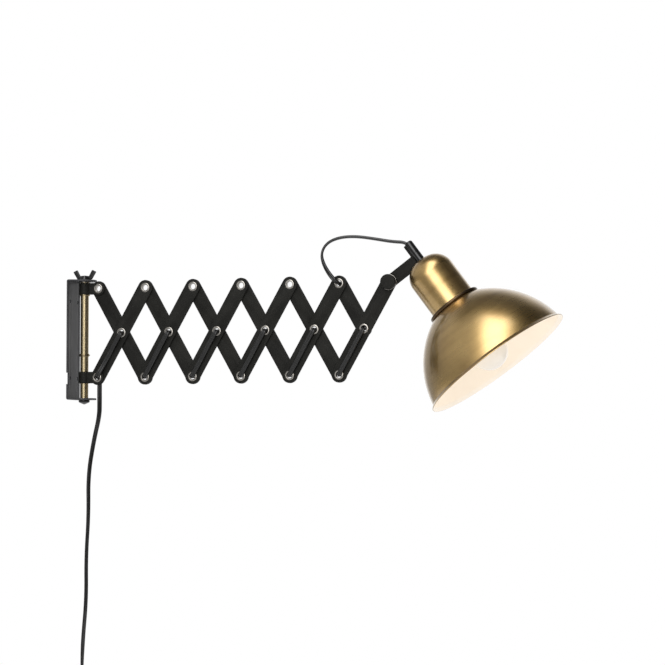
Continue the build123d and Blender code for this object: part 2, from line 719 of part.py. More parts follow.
def coil_radius(turn):
    """Radius after so many turns: in at a steady rate, and out again from halfway."""
    half = COIL_TURNS / 2
    return COIL_MID_R + COIL_PITCH * (abs(turn - half) - half / 2)


def coil_frame(turn):
    """Point and direction after so many turns, which start at the wall side and go down."""
    angle = math.pi + 2 * math.pi * turn
    half = COIL_TURNS / 2
    radius = coil_radius(turn)
    climb = min(max((turn - half) * 2 + 0.5, 0), 1)
    step = climb * climb * (3 - 2 * climb)
    y = lead_points[-1][1] + COIL_PITCH * step
    point = Vector(COIL_X + radius * math.cos(angle), y, COIL_Z + radius * math.sin(angle))
    radius_rate = 0 if abs(turn - half) < 0.01 else math.copysign(COIL_PITCH, turn - half)
    y_rate = COIL_PITCH * 12 * climb * (1 - climb)
    sweep_rate = 2 * math.pi * radius
    direction = Vector(
        radius_rate * math.cos(angle) - sweep_rate * math.sin(angle),
        y_rate,
        radius_rate * math.sin(angle) + sweep_rate * math.cos(angle),
    )
    return point, direction.normalized()


def biarc(start, start_dir, end, end_dir):
    """Two tangent arcs from one point and direction to another."""
    chord = end - start
    both = start_dir + end_dir
    spread = 2 * (1 - start_dir.dot(end_dir))
    reach = chord.dot(both)
    arm = (math.sqrt(reach ** 2 + spread * chord.dot(chord)) - reach) / spread
    start_arm = start + start_dir * arm
    end_arm = end - end_dir * arm
    meet = (start_arm + end_arm) * 0.5
    meet_dir = (end_arm - start_arm).normalized()
    return [
        Edge.make_tangent_arc(start, start_dir, meet),
        Edge.make_tangent_arc(meet, meet_dir, end),
    ]


def coil_path():
    """Coil with a short straight start and the straight tail that leads to the plug."""
    frames = [coil_frame(step / 4) for step in range(4 * COIL_TURNS + 1)]
    edges = [Edge.make_line(frames[0][0] - frames[0][1] * COIL_START, frames[0][0])]
    for (start, start_dir), (end, end_dir) in zip(frames, frames[1:]):
        edges += biarc(start, start_dir, end, end_dir)
    edges.append(Edge.make_line(frames[-1][0], frames[-1][0] + frames[-1][1] * COIL_TAIL))
    return Wire(edges)


def least_gap():
    """Least distance between turns of the coil's tube, measured on points along it."""
    steps = 48
    points = [coil_frame(step / steps)[0] for step in range(steps * COIL_TURNS + 1)]
    half_turn = steps // 2
    distances = [
        (point - other).length
        for place, point in enumerate(points)
        for other in points[place + half_turn:]
    ]
    return min(distances) - 2 * ROUND_CORD_R


def coil_tie():
    """Strap round all turns at the top of the coil."""
    radii = [coil_radius(turn + 0.75) for turn in range(COIL_TURNS)]
    margin = ROUND_CORD_R + TIE_CLEARANCE
    length = max(radii) - min(radii) + 2 * margin
    width = COIL_PITCH + 2 * margin
    outer = RectangleRounded(width + 2 * TIE_THICK, length + 2 * TIE_THICK, 2 * TIE_THICK)
    ring = outer - RectangleRounded(width, length, TIE_THICK)
    middle = Vector(
        COIL_X, lead_points[-1][1] + COIL_PITCH / 2, COIL_Z + (max(radii) + min(radii)) / 2
    )
    plane = Plane(origin=middle, x_dir=(0, 1, 0), z_dir=(1, 0, 0))
    return extrude(plane * ring, amount=TIE_WIDTH / 2, both=True)


coil_start, coil_start_dir = coil_frame(0)
coil_end, coil_end_dir = coil_frame(COIL_TURNS)
lead_points += [
    tuple(coil_start - coil_start_dir * (COIL_START + COIL_LEAD_IN)),
    tuple(coil_start - coil_start_dir * COIL_START),
]
parts["supply_lead"] = round_tube(
    "supply_lead", tube_path("supply_lead", lead_points, LEAD_EXIT_BEND)
)
winding = coil_path()
print("coil length", round(winding.length, 1), "least gap", round(least_gap(), 2))
parts["lead_coil"] = round_tube("lead_coil", winding)
parts["coil_tie"] = coil_tie()

# The plug hangs on the tail, its broad side across the arm.
plug_top = coil_end + coil_end_dir * COIL_TAIL
plug_plane = Plane(origin=plug_top, x_dir=(0, 1, 0), z_dir=coil_end_dir)
body_outline = RectangleRounded(PLUG_WIDTH, PLUG_THICK, PLUG_CORNER)
neck_outline = RectangleRounded(PLUG_NECK_WIDTH, PLUG_NECK_THICK, PLUG_CORNER)
waist_start = PLUG_LENGTH - PLUG_WAIST
plug = loft([neck_outline, Pos(0, 0, waist_start) * body_outline], ruled=True)
plug += Pos(0, 0, waist_start) * extrude(body_outline, amount=PLUG_WAIST)
pin_places = [Pos(side * PIN_SPACING / 2, 0, PLUG_LENGTH) for side in (-1, 1)]
parts["plug"] = plug_plane.location * plug
pins = []
for place in pin_places:
    pin = extrude(Circle(PIN_R), amount=PIN_LENGTH)
    pins.append(plug_plane.location * place * fillet(pin.edges().group_by(Axis.Z)[-1], PIN_R / 2))
parts["plug_pins"] = Compound(children=pins)

for name, shape in parts.items():
    shape.label = name
os.makedirs("parts", exist_ok=True)
for name, shape in parts.items():
    export_step(shape, f"parts/{name}.step")
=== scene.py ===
"""Accordion wall lamp: the looks of every piece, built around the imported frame.

Sizes are in millimetres unless a name says otherwise, and are turned into metres when a mesh is made.
The frame's origin is on the wall, +X points out of the wall along the arm and +Z points up.
"""

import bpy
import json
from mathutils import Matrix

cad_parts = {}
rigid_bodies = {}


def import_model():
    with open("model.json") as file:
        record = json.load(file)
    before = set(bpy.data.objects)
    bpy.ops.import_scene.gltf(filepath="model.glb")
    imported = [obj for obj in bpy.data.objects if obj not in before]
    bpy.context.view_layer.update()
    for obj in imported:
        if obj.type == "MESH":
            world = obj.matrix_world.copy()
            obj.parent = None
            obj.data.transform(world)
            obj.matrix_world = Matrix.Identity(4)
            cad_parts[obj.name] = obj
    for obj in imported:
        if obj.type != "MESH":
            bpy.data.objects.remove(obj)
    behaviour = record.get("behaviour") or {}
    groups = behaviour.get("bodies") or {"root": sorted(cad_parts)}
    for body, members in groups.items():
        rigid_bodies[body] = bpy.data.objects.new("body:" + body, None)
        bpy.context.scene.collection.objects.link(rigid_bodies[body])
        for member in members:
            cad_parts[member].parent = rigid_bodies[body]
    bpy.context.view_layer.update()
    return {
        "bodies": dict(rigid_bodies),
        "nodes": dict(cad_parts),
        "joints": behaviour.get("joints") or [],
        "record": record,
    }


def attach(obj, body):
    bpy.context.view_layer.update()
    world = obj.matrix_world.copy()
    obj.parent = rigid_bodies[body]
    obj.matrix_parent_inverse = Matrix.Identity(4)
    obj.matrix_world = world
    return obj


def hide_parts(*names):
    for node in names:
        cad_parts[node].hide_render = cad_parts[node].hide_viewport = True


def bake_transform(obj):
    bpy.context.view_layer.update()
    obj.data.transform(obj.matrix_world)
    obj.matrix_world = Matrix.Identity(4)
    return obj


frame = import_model()

import json
import logging
import math
from dataclasses import dataclass
from enum import Enum
from typing import Callable, Sequence

import bmesh
import bpy
import numpy as np
from mathutils import Matrix, Vector

MM = 0.001
TURN = 2 * math.pi
log = logging.getLogger("wall_lamp")

Colour = tuple[float, float, float]
Point = tuple[float, float, float]
Rows = Sequence[Sequence[float]]
Relief = Callable[[np.ndarray, np.ndarray, np.ndarray], np.ndarray]


# ---------------------------------------------------------------- shader maths


class Wire:
    """The output of a shader node, as a value that can be added, multiplied and compared."""

    def __init__(self, graph: "Graph", socket: bpy.types.NodeSocket) -> None:
        """Keeps the graph that new nodes go into and the socket that this value comes from."""
        self.graph = graph
        self.socket = socket

    def _math(self, operation: str, *values: "Wire | float") -> "Wire":
        """One Math node on the given values."""
        return self.graph.node("ShaderNodeMath", {"operation": operation}, dict(enumerate(values)))

    def __add__(self, other: "Wire | float") -> "Wire":
        """Sum."""
        return self._math("ADD", self, other)

    __radd__ = __add__

    def __mul__(self, other: "Wire | float") -> "Wire":
        """Product."""
        return self._math("MULTIPLY", self, other)

    __rmul__ = __mul__

    def __sub__(self, other: "Wire | float") -> "Wire":
        """Difference."""
        return self._math("SUBTRACT", self, other)

    def __rsub__(self, other: "Wire | float") -> "Wire":
        """Difference from a number."""
        return self._math("SUBTRACT", other, self)

    def __pow__(self, other: "Wire | float") -> "Wire":
        """Power."""
        return self._math("POWER", self, other)

    def step(self, low: float, high: float) -> "Wire":
        """Smooth rise from nought at low to one at high."""
        settings = {"interpolation_type": "SMOOTHSTEP"}
        return self.graph.node("ShaderNodeMapRange", settings, {0: self, 1: low, 2: high}, "Result")


class Graph:
    """A material's node tree with its Principled shader."""

    def __init__(self, name: str) -> None:
        """Starts an empty material.

        Args:
            name: the material's name.
        """
        self.material = bpy.data.materials.new(name)
        self.material.use_nodes = True
        self.tree = self.material.node_tree
        self.tree.nodes.clear()
        self.output = self.tree.nodes.new("ShaderNodeOutputMaterial")
        self.shader = self.tree.nodes.new("ShaderNodeBsdfPrincipled")
        self.tree.links.new(self.shader.outputs[0], self.output.inputs["Surface"])

    def _put(self, socket: bpy.types.NodeSocket, value: "Wire | float | Sequence[float]") -> None:
        """Links or sets one input socket."""
        if isinstance(value, Wire):
            self.tree.links.new(value.socket, socket)
        elif isinstance(value, (tuple, list)) and socket.type == "RGBA":
            socket.default_value = (*value[:3], 1.0)
        else:
            socket.default_value = value

    def node(
        self,
        kind: str,
        settings: dict[str, object] | None = None,
        values: dict[object, object] | None = None,
        out: object = 0,
    ) -> Wire:
        """Adds a node.

        Args:
            kind: the node's type.
            settings: properties set first.
            values: numbers, colours or wires by input name, identifier or place.
            out: name, identifier or place of the output that is wanted.

        Returns:
            The wire from that output.
        """
        made = self.tree.nodes.new(kind)
        for name, value in (settings or {}).items():
            setattr(made, name, value)
        for key, value in (values or {}).items():
            self._put(self._socket(made.inputs, key), value)
        return Wire(self, self._socket(made.outputs, out))

    @staticmethod
    def _socket(sockets: bpy.types.bpy_prop_collection, key: object) -> bpy.types.NodeSocket:
        """Finds a socket.

        Args:
            sockets: a node's inputs or outputs.
            key: the socket's place, identifier or name.

        Returns:
            The socket.
        """
        if isinstance(key, int):
            return sockets[key]
        for socket in sockets:
            if socket.identifier == key:
                return socket
        return sockets[key]

    def mix(self, factor: "Wire | float", low: object, high: object) -> Wire:
        """Colour between two colours."""
        values = {"Factor_Float": factor, "A_Color": low, "B_Color": high}
        return self.node("ShaderNodeMix", {"data_type": "RGBA"}, values, "Result_Color")

    def place(self, axes: Matrix | None = None) -> Wire:
        """Object coordinates in metres, or the same point in a turned and moved frame.

        Args:
            axes: the frame, as a matrix from its own axes to the row's.

        Returns:
            The point's coordinates.
        """
        where = self.node("ShaderNodeTexCoord", out="Object")
        if axes is None:
            return where
        back = axes.inverted()
        values = {"Vector": where, "Location": tuple(back.translation), "Rotation": tuple(back.to_euler())}
        return self.node("ShaderNodeMapping", {"vector_type": "POINT"}, values)

    def noise(self, where: Wire, scale: float, detail: float = 3.0, roughness: float = 0.5) -> Wire:
        """Noise from nought to one."""
        values = {"Vector": where, "Scale": scale, "Detail": detail, "Roughness": roughness}
        return self.node("ShaderNodeTexNoise", None, values, "Fac")

    def split(self, where: Wire) -> tuple[Wire, Wire, Wire]:
        """Takes a vector apart.

        Args:
            where: the vector.

        Returns:
            Its three coordinates.
        """
        first = self.node("ShaderNodeSeparateXYZ", None, {0: where})
        sockets = first.socket.node.outputs
        return first, Wire(self, sockets[1]), Wire(self, sockets[2])

    def join(self, x: "Wire | float", y: "Wire | float", z: "Wire | float") -> Wire:
        """A vector from three values."""
        return self.node("ShaderNodeCombineXYZ", None, {0: x, 1: y, 2: z})

    def bump(self, height: Wire, depth: float) -> Wire:
        """Normal from a height in units of a depth in millimetres."""
        values = {"Height": height, "Distance": depth * MM, "Strength": 1.0}
        return self.node("ShaderNodeBump", None, values, "Normal")

    def finish(self, **sockets: object) -> bpy.types.Material:
        """Sets the shader's own sockets, named with underscores for blanks, and gives the material."""
        for name, value in sockets.items():
            self._put(self.shader.inputs[name.replace("_", " ")], value)
        return self.material


# ---------------------------------------------------------------- finishes


@dataclass(frozen=True)
class PowderCoat:
    """Baked powder coat: a matt colour with a fine grain and a slightly uneven gloss."""

    name: str
    colour: Colour
    grain: float  # millimetres from grain to grain
    depth: float  # millimetres
    rough: float
    gloss_change: float = 0.08
    shine: float = 0.5

    def material(self) -> bpy.types.Material:
        """Builds the material.

        Returns:
            The material.
        """
        graph = Graph(self.name)
        where = graph.place()
        grain = graph.noise(where, 1.0 / (self.grain * MM), 2.0, 0.6)
        clouds = graph.noise(where, 35.0, 3.0, 0.55)
        dust = graph.noise(where, 420.0, 2.0, 0.6).step(0.62, 0.8)
        dark = tuple(0.72 * value for value in self.colour)
        light = tuple(1.25 * value + 0.002 for value in self.colour)
        colour = graph.mix(clouds.step(0.3, 0.75), dark, light)
        colour = graph.mix(dust * 0.10, colour, (0.25, 0.24, 0.22))
        rough = self.rough + (clouds - 0.5) * self.gloss_change + (grain - 0.5) * 0.10
        return graph.finish(
            Base_Color=colour,
            Roughness=rough,
            Normal=graph.bump(grain, self.depth),
            Specular_IOR_Level=self.shine,
        )


@dataclass(frozen=True)
class Enamel:
    """Smooth stove enamel or moulded plastic, with a trace of orange peel and, where asked for, a painted
    glow.
    """

    name: str
    colour: Colour
    rough: float
    peel: float = 2.5  # millimetres from wave to wave
    depth: float = 0.012
    # painted glow: emission strength that makes the surface look lit though it is no lamp; nought for none
    painted_glow: float = 0.0

    def material(self) -> bpy.types.Material:
        """Builds the material.

        Returns:
            The material.
        """
        graph = Graph(self.name)
        where = graph.place()
        peel = graph.noise(where, 1.0 / (self.peel * MM), 2.0, 0.5)
        clouds = graph.noise(where, 22.0, 3.0, 0.5)
        dark = tuple(0.955 * value for value in self.colour)
        colour = graph.mix(clouds.step(0.35, 0.7), dark, self.colour)
        material = graph.finish(
            Base_Color=colour,
            Roughness=self.rough + (clouds - 0.5) * 0.06,
            Normal=graph.bump(peel, self.depth),
            Specular_IOR_Level=0.5,
        )
        # Painted glow: the colour is also emitted, so the surface looks lit by a light that is not there.
        if self.painted_glow:
            graph.finish(Emission_Color=colour, Emission_Strength=self.painted_glow)
        return material


@dataclass(frozen=True)
class BrushedMetal:
    """Metal brushed round an axis, with fine scratches, tarnish clouds and darker bands.

    The scratches are noise over the way along the profile, taken as z + lean * radius, and change
    slowly round the axis.
    """

    name: str
    light: Colour
    dark: Colour
    rough: float
    pitch: float = 0.45  # millimetres from scratch to scratch
    depth: float = 0.006
    tarnish: float = 0.5
    coat: float = 0.0
    axes: Matrix | None = None  # frame whose Z is the axis
    lean: float = 0.72
    round_scale: float = 26.0  # of the scratches round the axis, per metre
    band_scale: float = 110.0  # of the bands along the profile, per metre
    cloud_scale: float = 17.0

    def material(self) -> bpy.types.Material:
        """Builds the material.

        Returns:
            The material.
        """
        graph = Graph(self.name)
        where = graph.place(self.axes)
        x, y, z = graph.split(where)
        run = z + (x * x + y * y) ** 0.5 * self.lean
        scratch_at = graph.join(x * self.round_scale, y * self.round_scale, run * (1.0 / (self.pitch * MM)))
        scratches = graph.noise(scratch_at, 1.0, 2.0, 0.65)
        bands = graph.noise(graph.join(x * 9.0, y * 9.0, run * self.band_scale), 1.0, 4.0, 0.6)
        clouds = graph.noise(where, self.cloud_scale, 4.0, 0.6)
        tarnish = (bands * 0.3 + clouds * 0.7).step(0.32, 0.72) * self.tarnish
        tarnish = tarnish + (scratches - 0.5) * 0.22
        return graph.finish(
            Base_Color=graph.mix(tarnish.step(0.0, 1.0), self.light, self.dark),
            Metallic=1.0,
            Roughness=self.rough + (scratches - 0.5) * 0.16 + (clouds - 0.5) * 0.10,
            Coat_Weight=self.coat,
            Coat_Roughness=0.12,
            Normal=graph.bump(scratches, self.depth),
        )


@dataclass(frozen=True)
class FlexSheath:
    """Black sheath of the flat flex: smooth, with a satin shine and faint drawing marks."""

    name: str = "flex_black"
    colour: Colour = (0.007, 0.007, 0.007)
    rough: float = 0.16

    def material(self) -> bpy.types.Material:
        """Builds the material.

        Returns:
            The material.
        """
        graph = Graph(self.name)
        along, across, _ = graph.split(graph.node("ShaderNodeUVMap", {"uv_map": "along"}))
        marks = graph.noise(graph.join(along * 3.0, across * 40.0, 0.0), 1.0, 2.0, 0.6)
        dents = graph.noise(graph.place(), 260.0, 2.0, 0.5)
        return graph.finish(
            Base_Color=graph.mix(marks.step(0.3, 0.8), self.colour, (0.013, 0.013, 0.012)),
            Roughness=self.rough + (marks - 0.5) * 0.16 + (dents - 0.5) * 0.1,
            Normal=graph.bump(marks * 0.6 + dents * 0.4, 0.003),
            Specular_IOR_Level=0.5,
        )


@dataclass(frozen=True)
class OpalGlass:
    """White opal glass of the bulb, smooth and a little translucent."""

    name: str = "opal_glass"
    colour: Colour = (0.93, 0.86, 0.76)

    def material(self) -> bpy.types.Material:
        """Builds the material.

        Returns:
            The material.
        """
        graph = Graph(self.name)
        clouds = graph.noise(graph.place(), 60.0, 2.0, 0.5)
        low = tuple(0.97 * value for value in self.colour)
        colour = graph.mix(clouds, low, self.colour)
        return graph.finish(
            Base_Color=colour,
            Roughness=0.16 + clouds * 0.05,
            Coat_Weight=0.4,
            Coat_Roughness=0.05,
            Normal=graph.bump(clouds, 0.01),
            Emission_Color=colour,
            Emission_Strength=0.10,
        )


# ---------------------------------------------------------------- numbers and curves


def unit(vectors: np.ndarray) -> np.ndarray:
    """Vectors of length one along the last axis."""
    return vectors / np.maximum(np.linalg.norm(vectors, axis=-1, keepdims=True), 1e-12)


def filleted(corners: Rows, radii: Sequence[float], steps: int = 8) -> np.ndarray:
    """Open polyline whose inner corners are arcs.

    An arc starts at radius / tan(half the corner's angle) from the corner and turns about a centre
    that lies radius / sin(half the angle) along the corner's bisector.

    Args:
        corners: the polyline's points.
        radii: one radius for each inner corner; nought keeps the corner.
        steps: straight pieces in an arc.

    Returns:
        The points, one row each.
    """
    places = [np.asarray(corner, float) for corner in corners]
    rows = [places[0][None]]
    for before, corner, after, radius in zip(places, places[1:], places[2:], radii):
        back, on = unit(before - corner), unit(after - corner)
        half = math.acos(float(np.clip(back @ on, -1, 1))) / 2
        if radius <= 0 or half > math.pi / 2 - 1e-3:
            rows.append(corner[None])
            continue
        centre = corner + unit(back + on) * radius / math.sin(half)
        first = (corner + back * radius / math.tan(half) - centre) / radius
        last = (corner + on * radius / math.tan(half) - centre) / radius
        turn = math.pi - 2 * half
        share = np.linspace(0, 1, steps + 1)[:, None]
        arc = (np.sin((1 - share) * turn) * first + np.sin(share * turn) * last) / math.sin(turn)
        rows.append(centre + radius * arc)
    rows.append(places[-1][None])
    return np.concatenate(rows)


def loop_of(corners: Rows, steps: int = 8) -> np.ndarray:
    """Closed outline whose corners are arcs.

    Args:
        corners: rows of x, y and the corner's radius.
        steps: straight pieces in an arc.

    Returns:
        The outline's points, one row each.
    """
    start = [(corners[-1][k] + corners[0][k]) / 2 for k in (0, 1)]
    points = [start, *[corner[:2] for corner in corners], start]
    return filleted(points, [corner[2] for corner in corners], steps)[:-1]


def boxed(half_x: float, half_y: float, radius: float) -> list[Point]:
    """Corner rows of a rectangle about nought, for loop_of."""
    return [(x * half_x, y * half_y, radius) for x, y in ((-1, -1), (1, -1), (1, 1), (-1, 1))]


def circle(centre: Sequence[float], radius: float, steps: int = 64) -> np.ndarray:
    """Points round a circle."""
    angle = np.linspace(0, TURN, steps, endpoint=False)
    return np.stack([centre[0] + radius * np.cos(angle), centre[1] + radius * np.sin(angle)], -1)


def arc(
    centre: Sequence[float], radius: float, start: float, end: float, steps: int = 24
) -> np.ndarray:
    """Points along an arc between two angles in degrees."""
    angle = np.radians(np.linspace(start, end, steps + 1))
    return np.stack([centre[0] + radius * np.cos(angle), centre[1] + radius * np.sin(angle)], -1)


def chain(*parts: np.ndarray | Rows | Sequence[float]) -> np.ndarray:
    """Outline or profile from single points and lines of points, in order."""
    return np.concatenate([np.reshape(np.asarray(part, float), (-1, 2)) for part in parts])


def straight(radius: float, places: np.ndarray) -> np.ndarray:
    """Profile rows of one radius at many places along the axis."""
    return np.stack([np.full(len(places), radius), places], -1)


def mirrored(half: np.ndarray, ends: float) -> np.ndarray:
    """Profile followed by its mirror image; ends is the sum of its first and last place."""
    return np.concatenate([half, half[::-1] * [1, -1] + [0, ends]])


def bar(start: Sequence[float], end: Sequence[float], radius: float) -> np.ndarray:
    """Outline of a flat bar with round ends.

    Args:
        start: centre of the first end.
        end: centre of the other end.
        radius: half the bar's width.

    Returns:
        The outline's points, one row each.
    """
    heading = math.degrees(math.atan2(end[1] - start[1], end[0] - start[0]))
    near, far = arc(start, radius, heading + 90, heading + 270), arc(end, radius, heading - 90, heading + 90)
    return chain(near, far)


def lengths(line: np.ndarray) -> np.ndarray:
    """Distance run along a line, at each of its points."""
    return np.concatenate([[0.0], np.cumsum(np.linalg.norm(np.diff(line, axis=0), axis=1))])


def resampled(line: np.ndarray, step: float) -> np.ndarray:
    """The line's points at even distances.

    Args:
        line: points, one row each.
        step: the distance wanted, which is evened out over the line.

    Returns:
        The new points.
    """
    run = lengths(line)
    keep = np.concatenate([[True], np.diff(run) > 1e-6])
    places = np.linspace(0, run[-1], max(int(run[-1] / step), 2) + 1)
    return np.stack([np.interp(places, run[keep], line[keep, k]) for k in range(line.shape[1])], -1)


# ---------------------------------------------------------------- meshes


def quads(rows: int, columns: int, closed_rows: bool, closed_columns: bool) -> np.ndarray:
    """Faces of a grid of points, numbered row by row.

    Args:
        rows: rows of points.
        columns: points in a row.
        closed_rows: joins the last row to the first.
        closed_columns: joins each row's last point to its first.

    Returns:
        Four point numbers for each face.
    """
    row = np.arange(rows if closed_rows else rows - 1)[:, None]
    column = np.arange(columns if closed_columns else columns - 1)[None]
    next_row, next_column = (row + 1) % rows, (column + 1) % columns
    corners = [row * columns + column, next_row * columns + column]
    corners += [next_row * columns + next_column, row * columns + next_column]
    return np.stack(np.broadcast_arrays(*corners), -1).reshape(-1, 4)


def cleaned(
    mesh: bpy.types.Mesh, cuts: Sequence[tuple[Point, Point]] = (), sharp: float = 35.0
) -> None:
    """Welds a mesh, cuts it across where it will bend, turns its normals outward and smooths it.

    Args:
        mesh: the mesh to work on.
        cuts: a point and a direction for each plane that cuts it.
        sharp: edges that turn by more than this, in degrees, stay sharp.
    """
    work = bmesh.new()
    work.from_mesh(mesh)
    bmesh.ops.remove_doubles(work, verts=work.verts, dist=2e-7)
    for place, across in cuts:
        parts = [*work.verts, *work.edges, *work.faces]
        bmesh.ops.bisect_plane(work, geom=parts, plane_co=place, plane_no=across, dist=1e-7)
    bmesh.ops.recalc_face_normals(work, faces=work.faces)
    work.to_mesh(mesh)
    work.free()
    mesh.shade_smooth()
    mesh.set_sharp_from_angle(angle=math.radians(sharp))


def placed(name: str, mesh: bpy.types.Mesh, *materials: bpy.types.Material) -> bpy.types.Object:
    """An object at the row's origin for a mesh in row coordinates.

    Args:
        name: the piece's name.
        mesh: its mesh.
        materials: its materials, by slot.

    Returns:
        The new object.
    """
    obj = bpy.data.objects.new(name, mesh)
    bpy.context.scene.collection.objects.link(obj)
    for material in materials:
        mesh.materials.append(material)
    return obj


def moved(points: np.ndarray, frame: Matrix) -> np.ndarray:
    """Points in a frame's own millimetres, as row coordinates in metres."""
    turn = np.array(frame)
    return points @ (turn[:3, :3].T * MM) + turn[:3, 3]


def lathe(
    name: str,
    profile: np.ndarray,
    frame: Matrix,
    *materials: bpy.types.Material,
    steps: int = 128,
    closed: bool = True,
    second: tuple[int, int] | None = None,
    relief: Relief | None = None,
) -> bpy.types.Object:
    """Surface of revolution about a frame's Z: (r cos a, r sin a, s) for each profile point (r, s).

    Args:
        name: the piece's name.
        profile: rows of radius and place along the axis, in millimetres.
        frame: the axis frame in metres.
        materials: one or two materials.
        steps: points round the axis.
        closed: joins the profile's last point to its first; otherwise both lie on the axis.
        second: first and last profile row that get the second material.
        relief: gives the radius from angle, radius and place along, for threads and ribs.

    Returns:
        The new object.
    """
    angle = np.linspace(0, TURN, steps, endpoint=False)[None]
    radius = np.repeat(profile[:, :1], steps, 1)
    along = np.repeat(profile[:, 1:], steps, 1)
    if relief is not None:
        radius = relief(angle + 0 * radius, radius, along)
    points = np.stack([radius * np.cos(angle), radius * np.sin(angle), along], -1)
    faces = quads(len(profile), steps, closed, True)
    mesh = bpy.data.meshes.new(name)
    mesh.from_pydata(moved(points.reshape(-1, 3), frame), [], faces.tolist())
    if second is not None:
        row = np.arange(len(faces)) // steps
        kinds = ((row >= second[0]) & (row < second[1])).astype(np.int32)
        mesh.polygons.foreach_set("material_index", kinds)
    cleaned(mesh)
    return placed(name, mesh, *materials)


@dataclass(frozen=True)
class Blank:
    """Sheet part as it is cut, in its own X and Y: outline, holes, thickness and softened edge."""

    outline: np.ndarray
    holes: Sequence[np.ndarray]
    thick: float
    bevel: float

    def mesh(self) -> bpy.types.Mesh:
        """Makes the flat mesh.

        Returns:
            The mesh about the plane of X and Y, in metres.
        """
        curve = bpy.data.curves.new("outline", "CURVE")
        curve.dimensions = "2D"
        curve.fill_mode = "BOTH"
        curve.extrude = (self.thick / 2 - self.bevel) * MM
        curve.bevel_depth = self.bevel * MM
        curve.bevel_resolution = 2
        curve.offset = -self.bevel * MM
        for ring in (self.outline, *self.holes):
            spline = curve.splines.new("POLY")
            spline.points.add(len(ring) - 1)
            rows = np.zeros((len(ring), 4), np.float32)
            rows[:, :2] = ring * MM
            rows[:, 3] = 1
            spline.points.foreach_set("co", rows.ravel())
            spline.use_cyclic_u = True
        holder = bpy.data.objects.new("outline", curve)
        mesh = bpy.data.meshes.new_from_object(holder)
        bpy.data.objects.remove(holder)
        bpy.data.curves.remove(curve)
        return mesh

    def flat(self, name: str, frame: Matrix, material: bpy.types.Material) -> bpy.types.Object:
        """Plate whose middle plane is the frame's X and Y.

        Args:
            name: the piece's name.
            frame: where the plane lies.
            material: the finish.

        Returns:
            The new object.
        """
        mesh = self.mesh()
        mesh.transform(frame)
        cleaned(mesh)
        mesh.name = name
        return placed(name, mesh, material)

    def bent(
        self, name: str, line: np.ndarray, frame: Matrix, material: bpy.types.Material
    ) -> bpy.types.Object:
        """Plate folded along a line: (u, v, t) becomes line(u) + t times the line's left + v along Z.

        Args:
            name: the piece's name.
            line: the middle line's points in the frame's X and Y, from u = 0.
            frame: where the line's plane lies.
            material: the finish.

        Returns:
            The new object.
        """
        mesh = self.mesh()
        run = lengths(line)
        heading = np.unwrap(np.arctan2(*np.diff(line, axis=0).T[::-1]))
        middles = (run[1:] + run[:-1]) / 2
        bends = run[1:-1][np.abs(np.diff(heading)) > 1e-3]
        cleaned(mesh, [((place * MM, 0, 0), (1, 0, 0)) for place in bends])
        points = np.zeros(len(mesh.vertices) * 3)
        mesh.vertices.foreach_get("co", points)
        along, across, up = points.reshape(-1, 3).T / MM
        angle = np.interp(along, middles, heading)
        past = np.minimum(along, 0) + np.maximum(along - run[-1], 0)
        x = np.interp(along, run, line[:, 0]) + past * np.cos(angle) - up * np.sin(angle)
        y = np.interp(along, run, line[:, 1]) + past * np.sin(angle) + up * np.cos(angle)
        mesh.vertices.foreach_set("co", moved(np.stack([x, y, across], -1), frame).ravel())
        cleaned(mesh)
        mesh.name = name
        return placed(name, mesh, material)


def sweep(
    name: str,
    line: np.ndarray,
    wide: np.ndarray,
    section: np.ndarray,
    material: bpy.types.Material,
) -> bpy.types.Object:
    """Section carried along a line, closed at both ends.

    Ring i is line[i] + x * side[i] + y * up[i], with side the wide direction made square to the line.

    Args:
        name: the piece's name.
        line: ring centres, in millimetres.
        wide: for each centre, roughly the section's X direction.
        section: the section's x and y.
        material: the finish.

    Returns:
        The new object.
    """
    ahead = unit(np.gradient(line, axis=0))
    side = unit(wide - ahead * (wide * ahead).sum(1, keepdims=True))
    up = np.cross(ahead, side)
    x, y = section[:, 0][None, :, None], section[:, 1][None, :, None]
    points = (line[:, None] + side[:, None] * x + up[:, None] * y) * MM
    rows, columns = len(line), len(section)
    faces = quads(rows, columns, False, True)
    ends = [list(range(columns))[::-1], list(range((rows - 1) * columns, rows * columns))]
    mesh = bpy.data.meshes.new(name)
    mesh.from_pydata(points.reshape(-1, 3), [], [*faces.tolist(), *ends])
    around = np.arange(columns)
    corner_row = np.concatenate([faces.ravel() // columns, 0 * around, 0 * around + rows - 1])
    corner_column = np.concatenate([faces.ravel() % columns, around, around])
    place = np.stack([lengths(line)[corner_row] * 0.1, corner_column / columns], -1)
    layer = mesh.uv_layers.new(name="along")
    layer.data.foreach_set("uv", place.astype(np.float32).ravel())
    cleaned(mesh, sharp=50.0)
    return placed(name, mesh, material)


def routed(name: str, route: np.ndarray) -> np.ndarray:
    """Smooth spline that a cord's route steers.

    Args:
        name: the cord's name.
        route: the route's points, in millimetres.

    Returns:
        Points along the spline, in millimetres.
    """
    curve = bpy.data.curves.new(name, "CURVE")
    curve.dimensions = "3D"
    spline = curve.splines.new("NURBS")
    spline.points.add(len(route) - 1)
    rows = np.ones((len(route), 4), np.float32)
    rows[:, :3] = route * MM
    spline.points.foreach_set("co", rows.ravel())
    spline.order_u = 3
    spline.use_endpoint_u = True
    spline.resolution_u = 10
    holder = bpy.data.objects.new(name, curve)
    mesh = bpy.data.meshes.new_from_object(holder)
    points = np.zeros(len(mesh.vertices) * 3)
    mesh.vertices.foreach_get("co", points)
    bpy.data.objects.remove(holder)
    bpy.data.curves.remove(curve)
    bpy.data.meshes.remove(mesh)
    return points.reshape(-1, 3) / MM


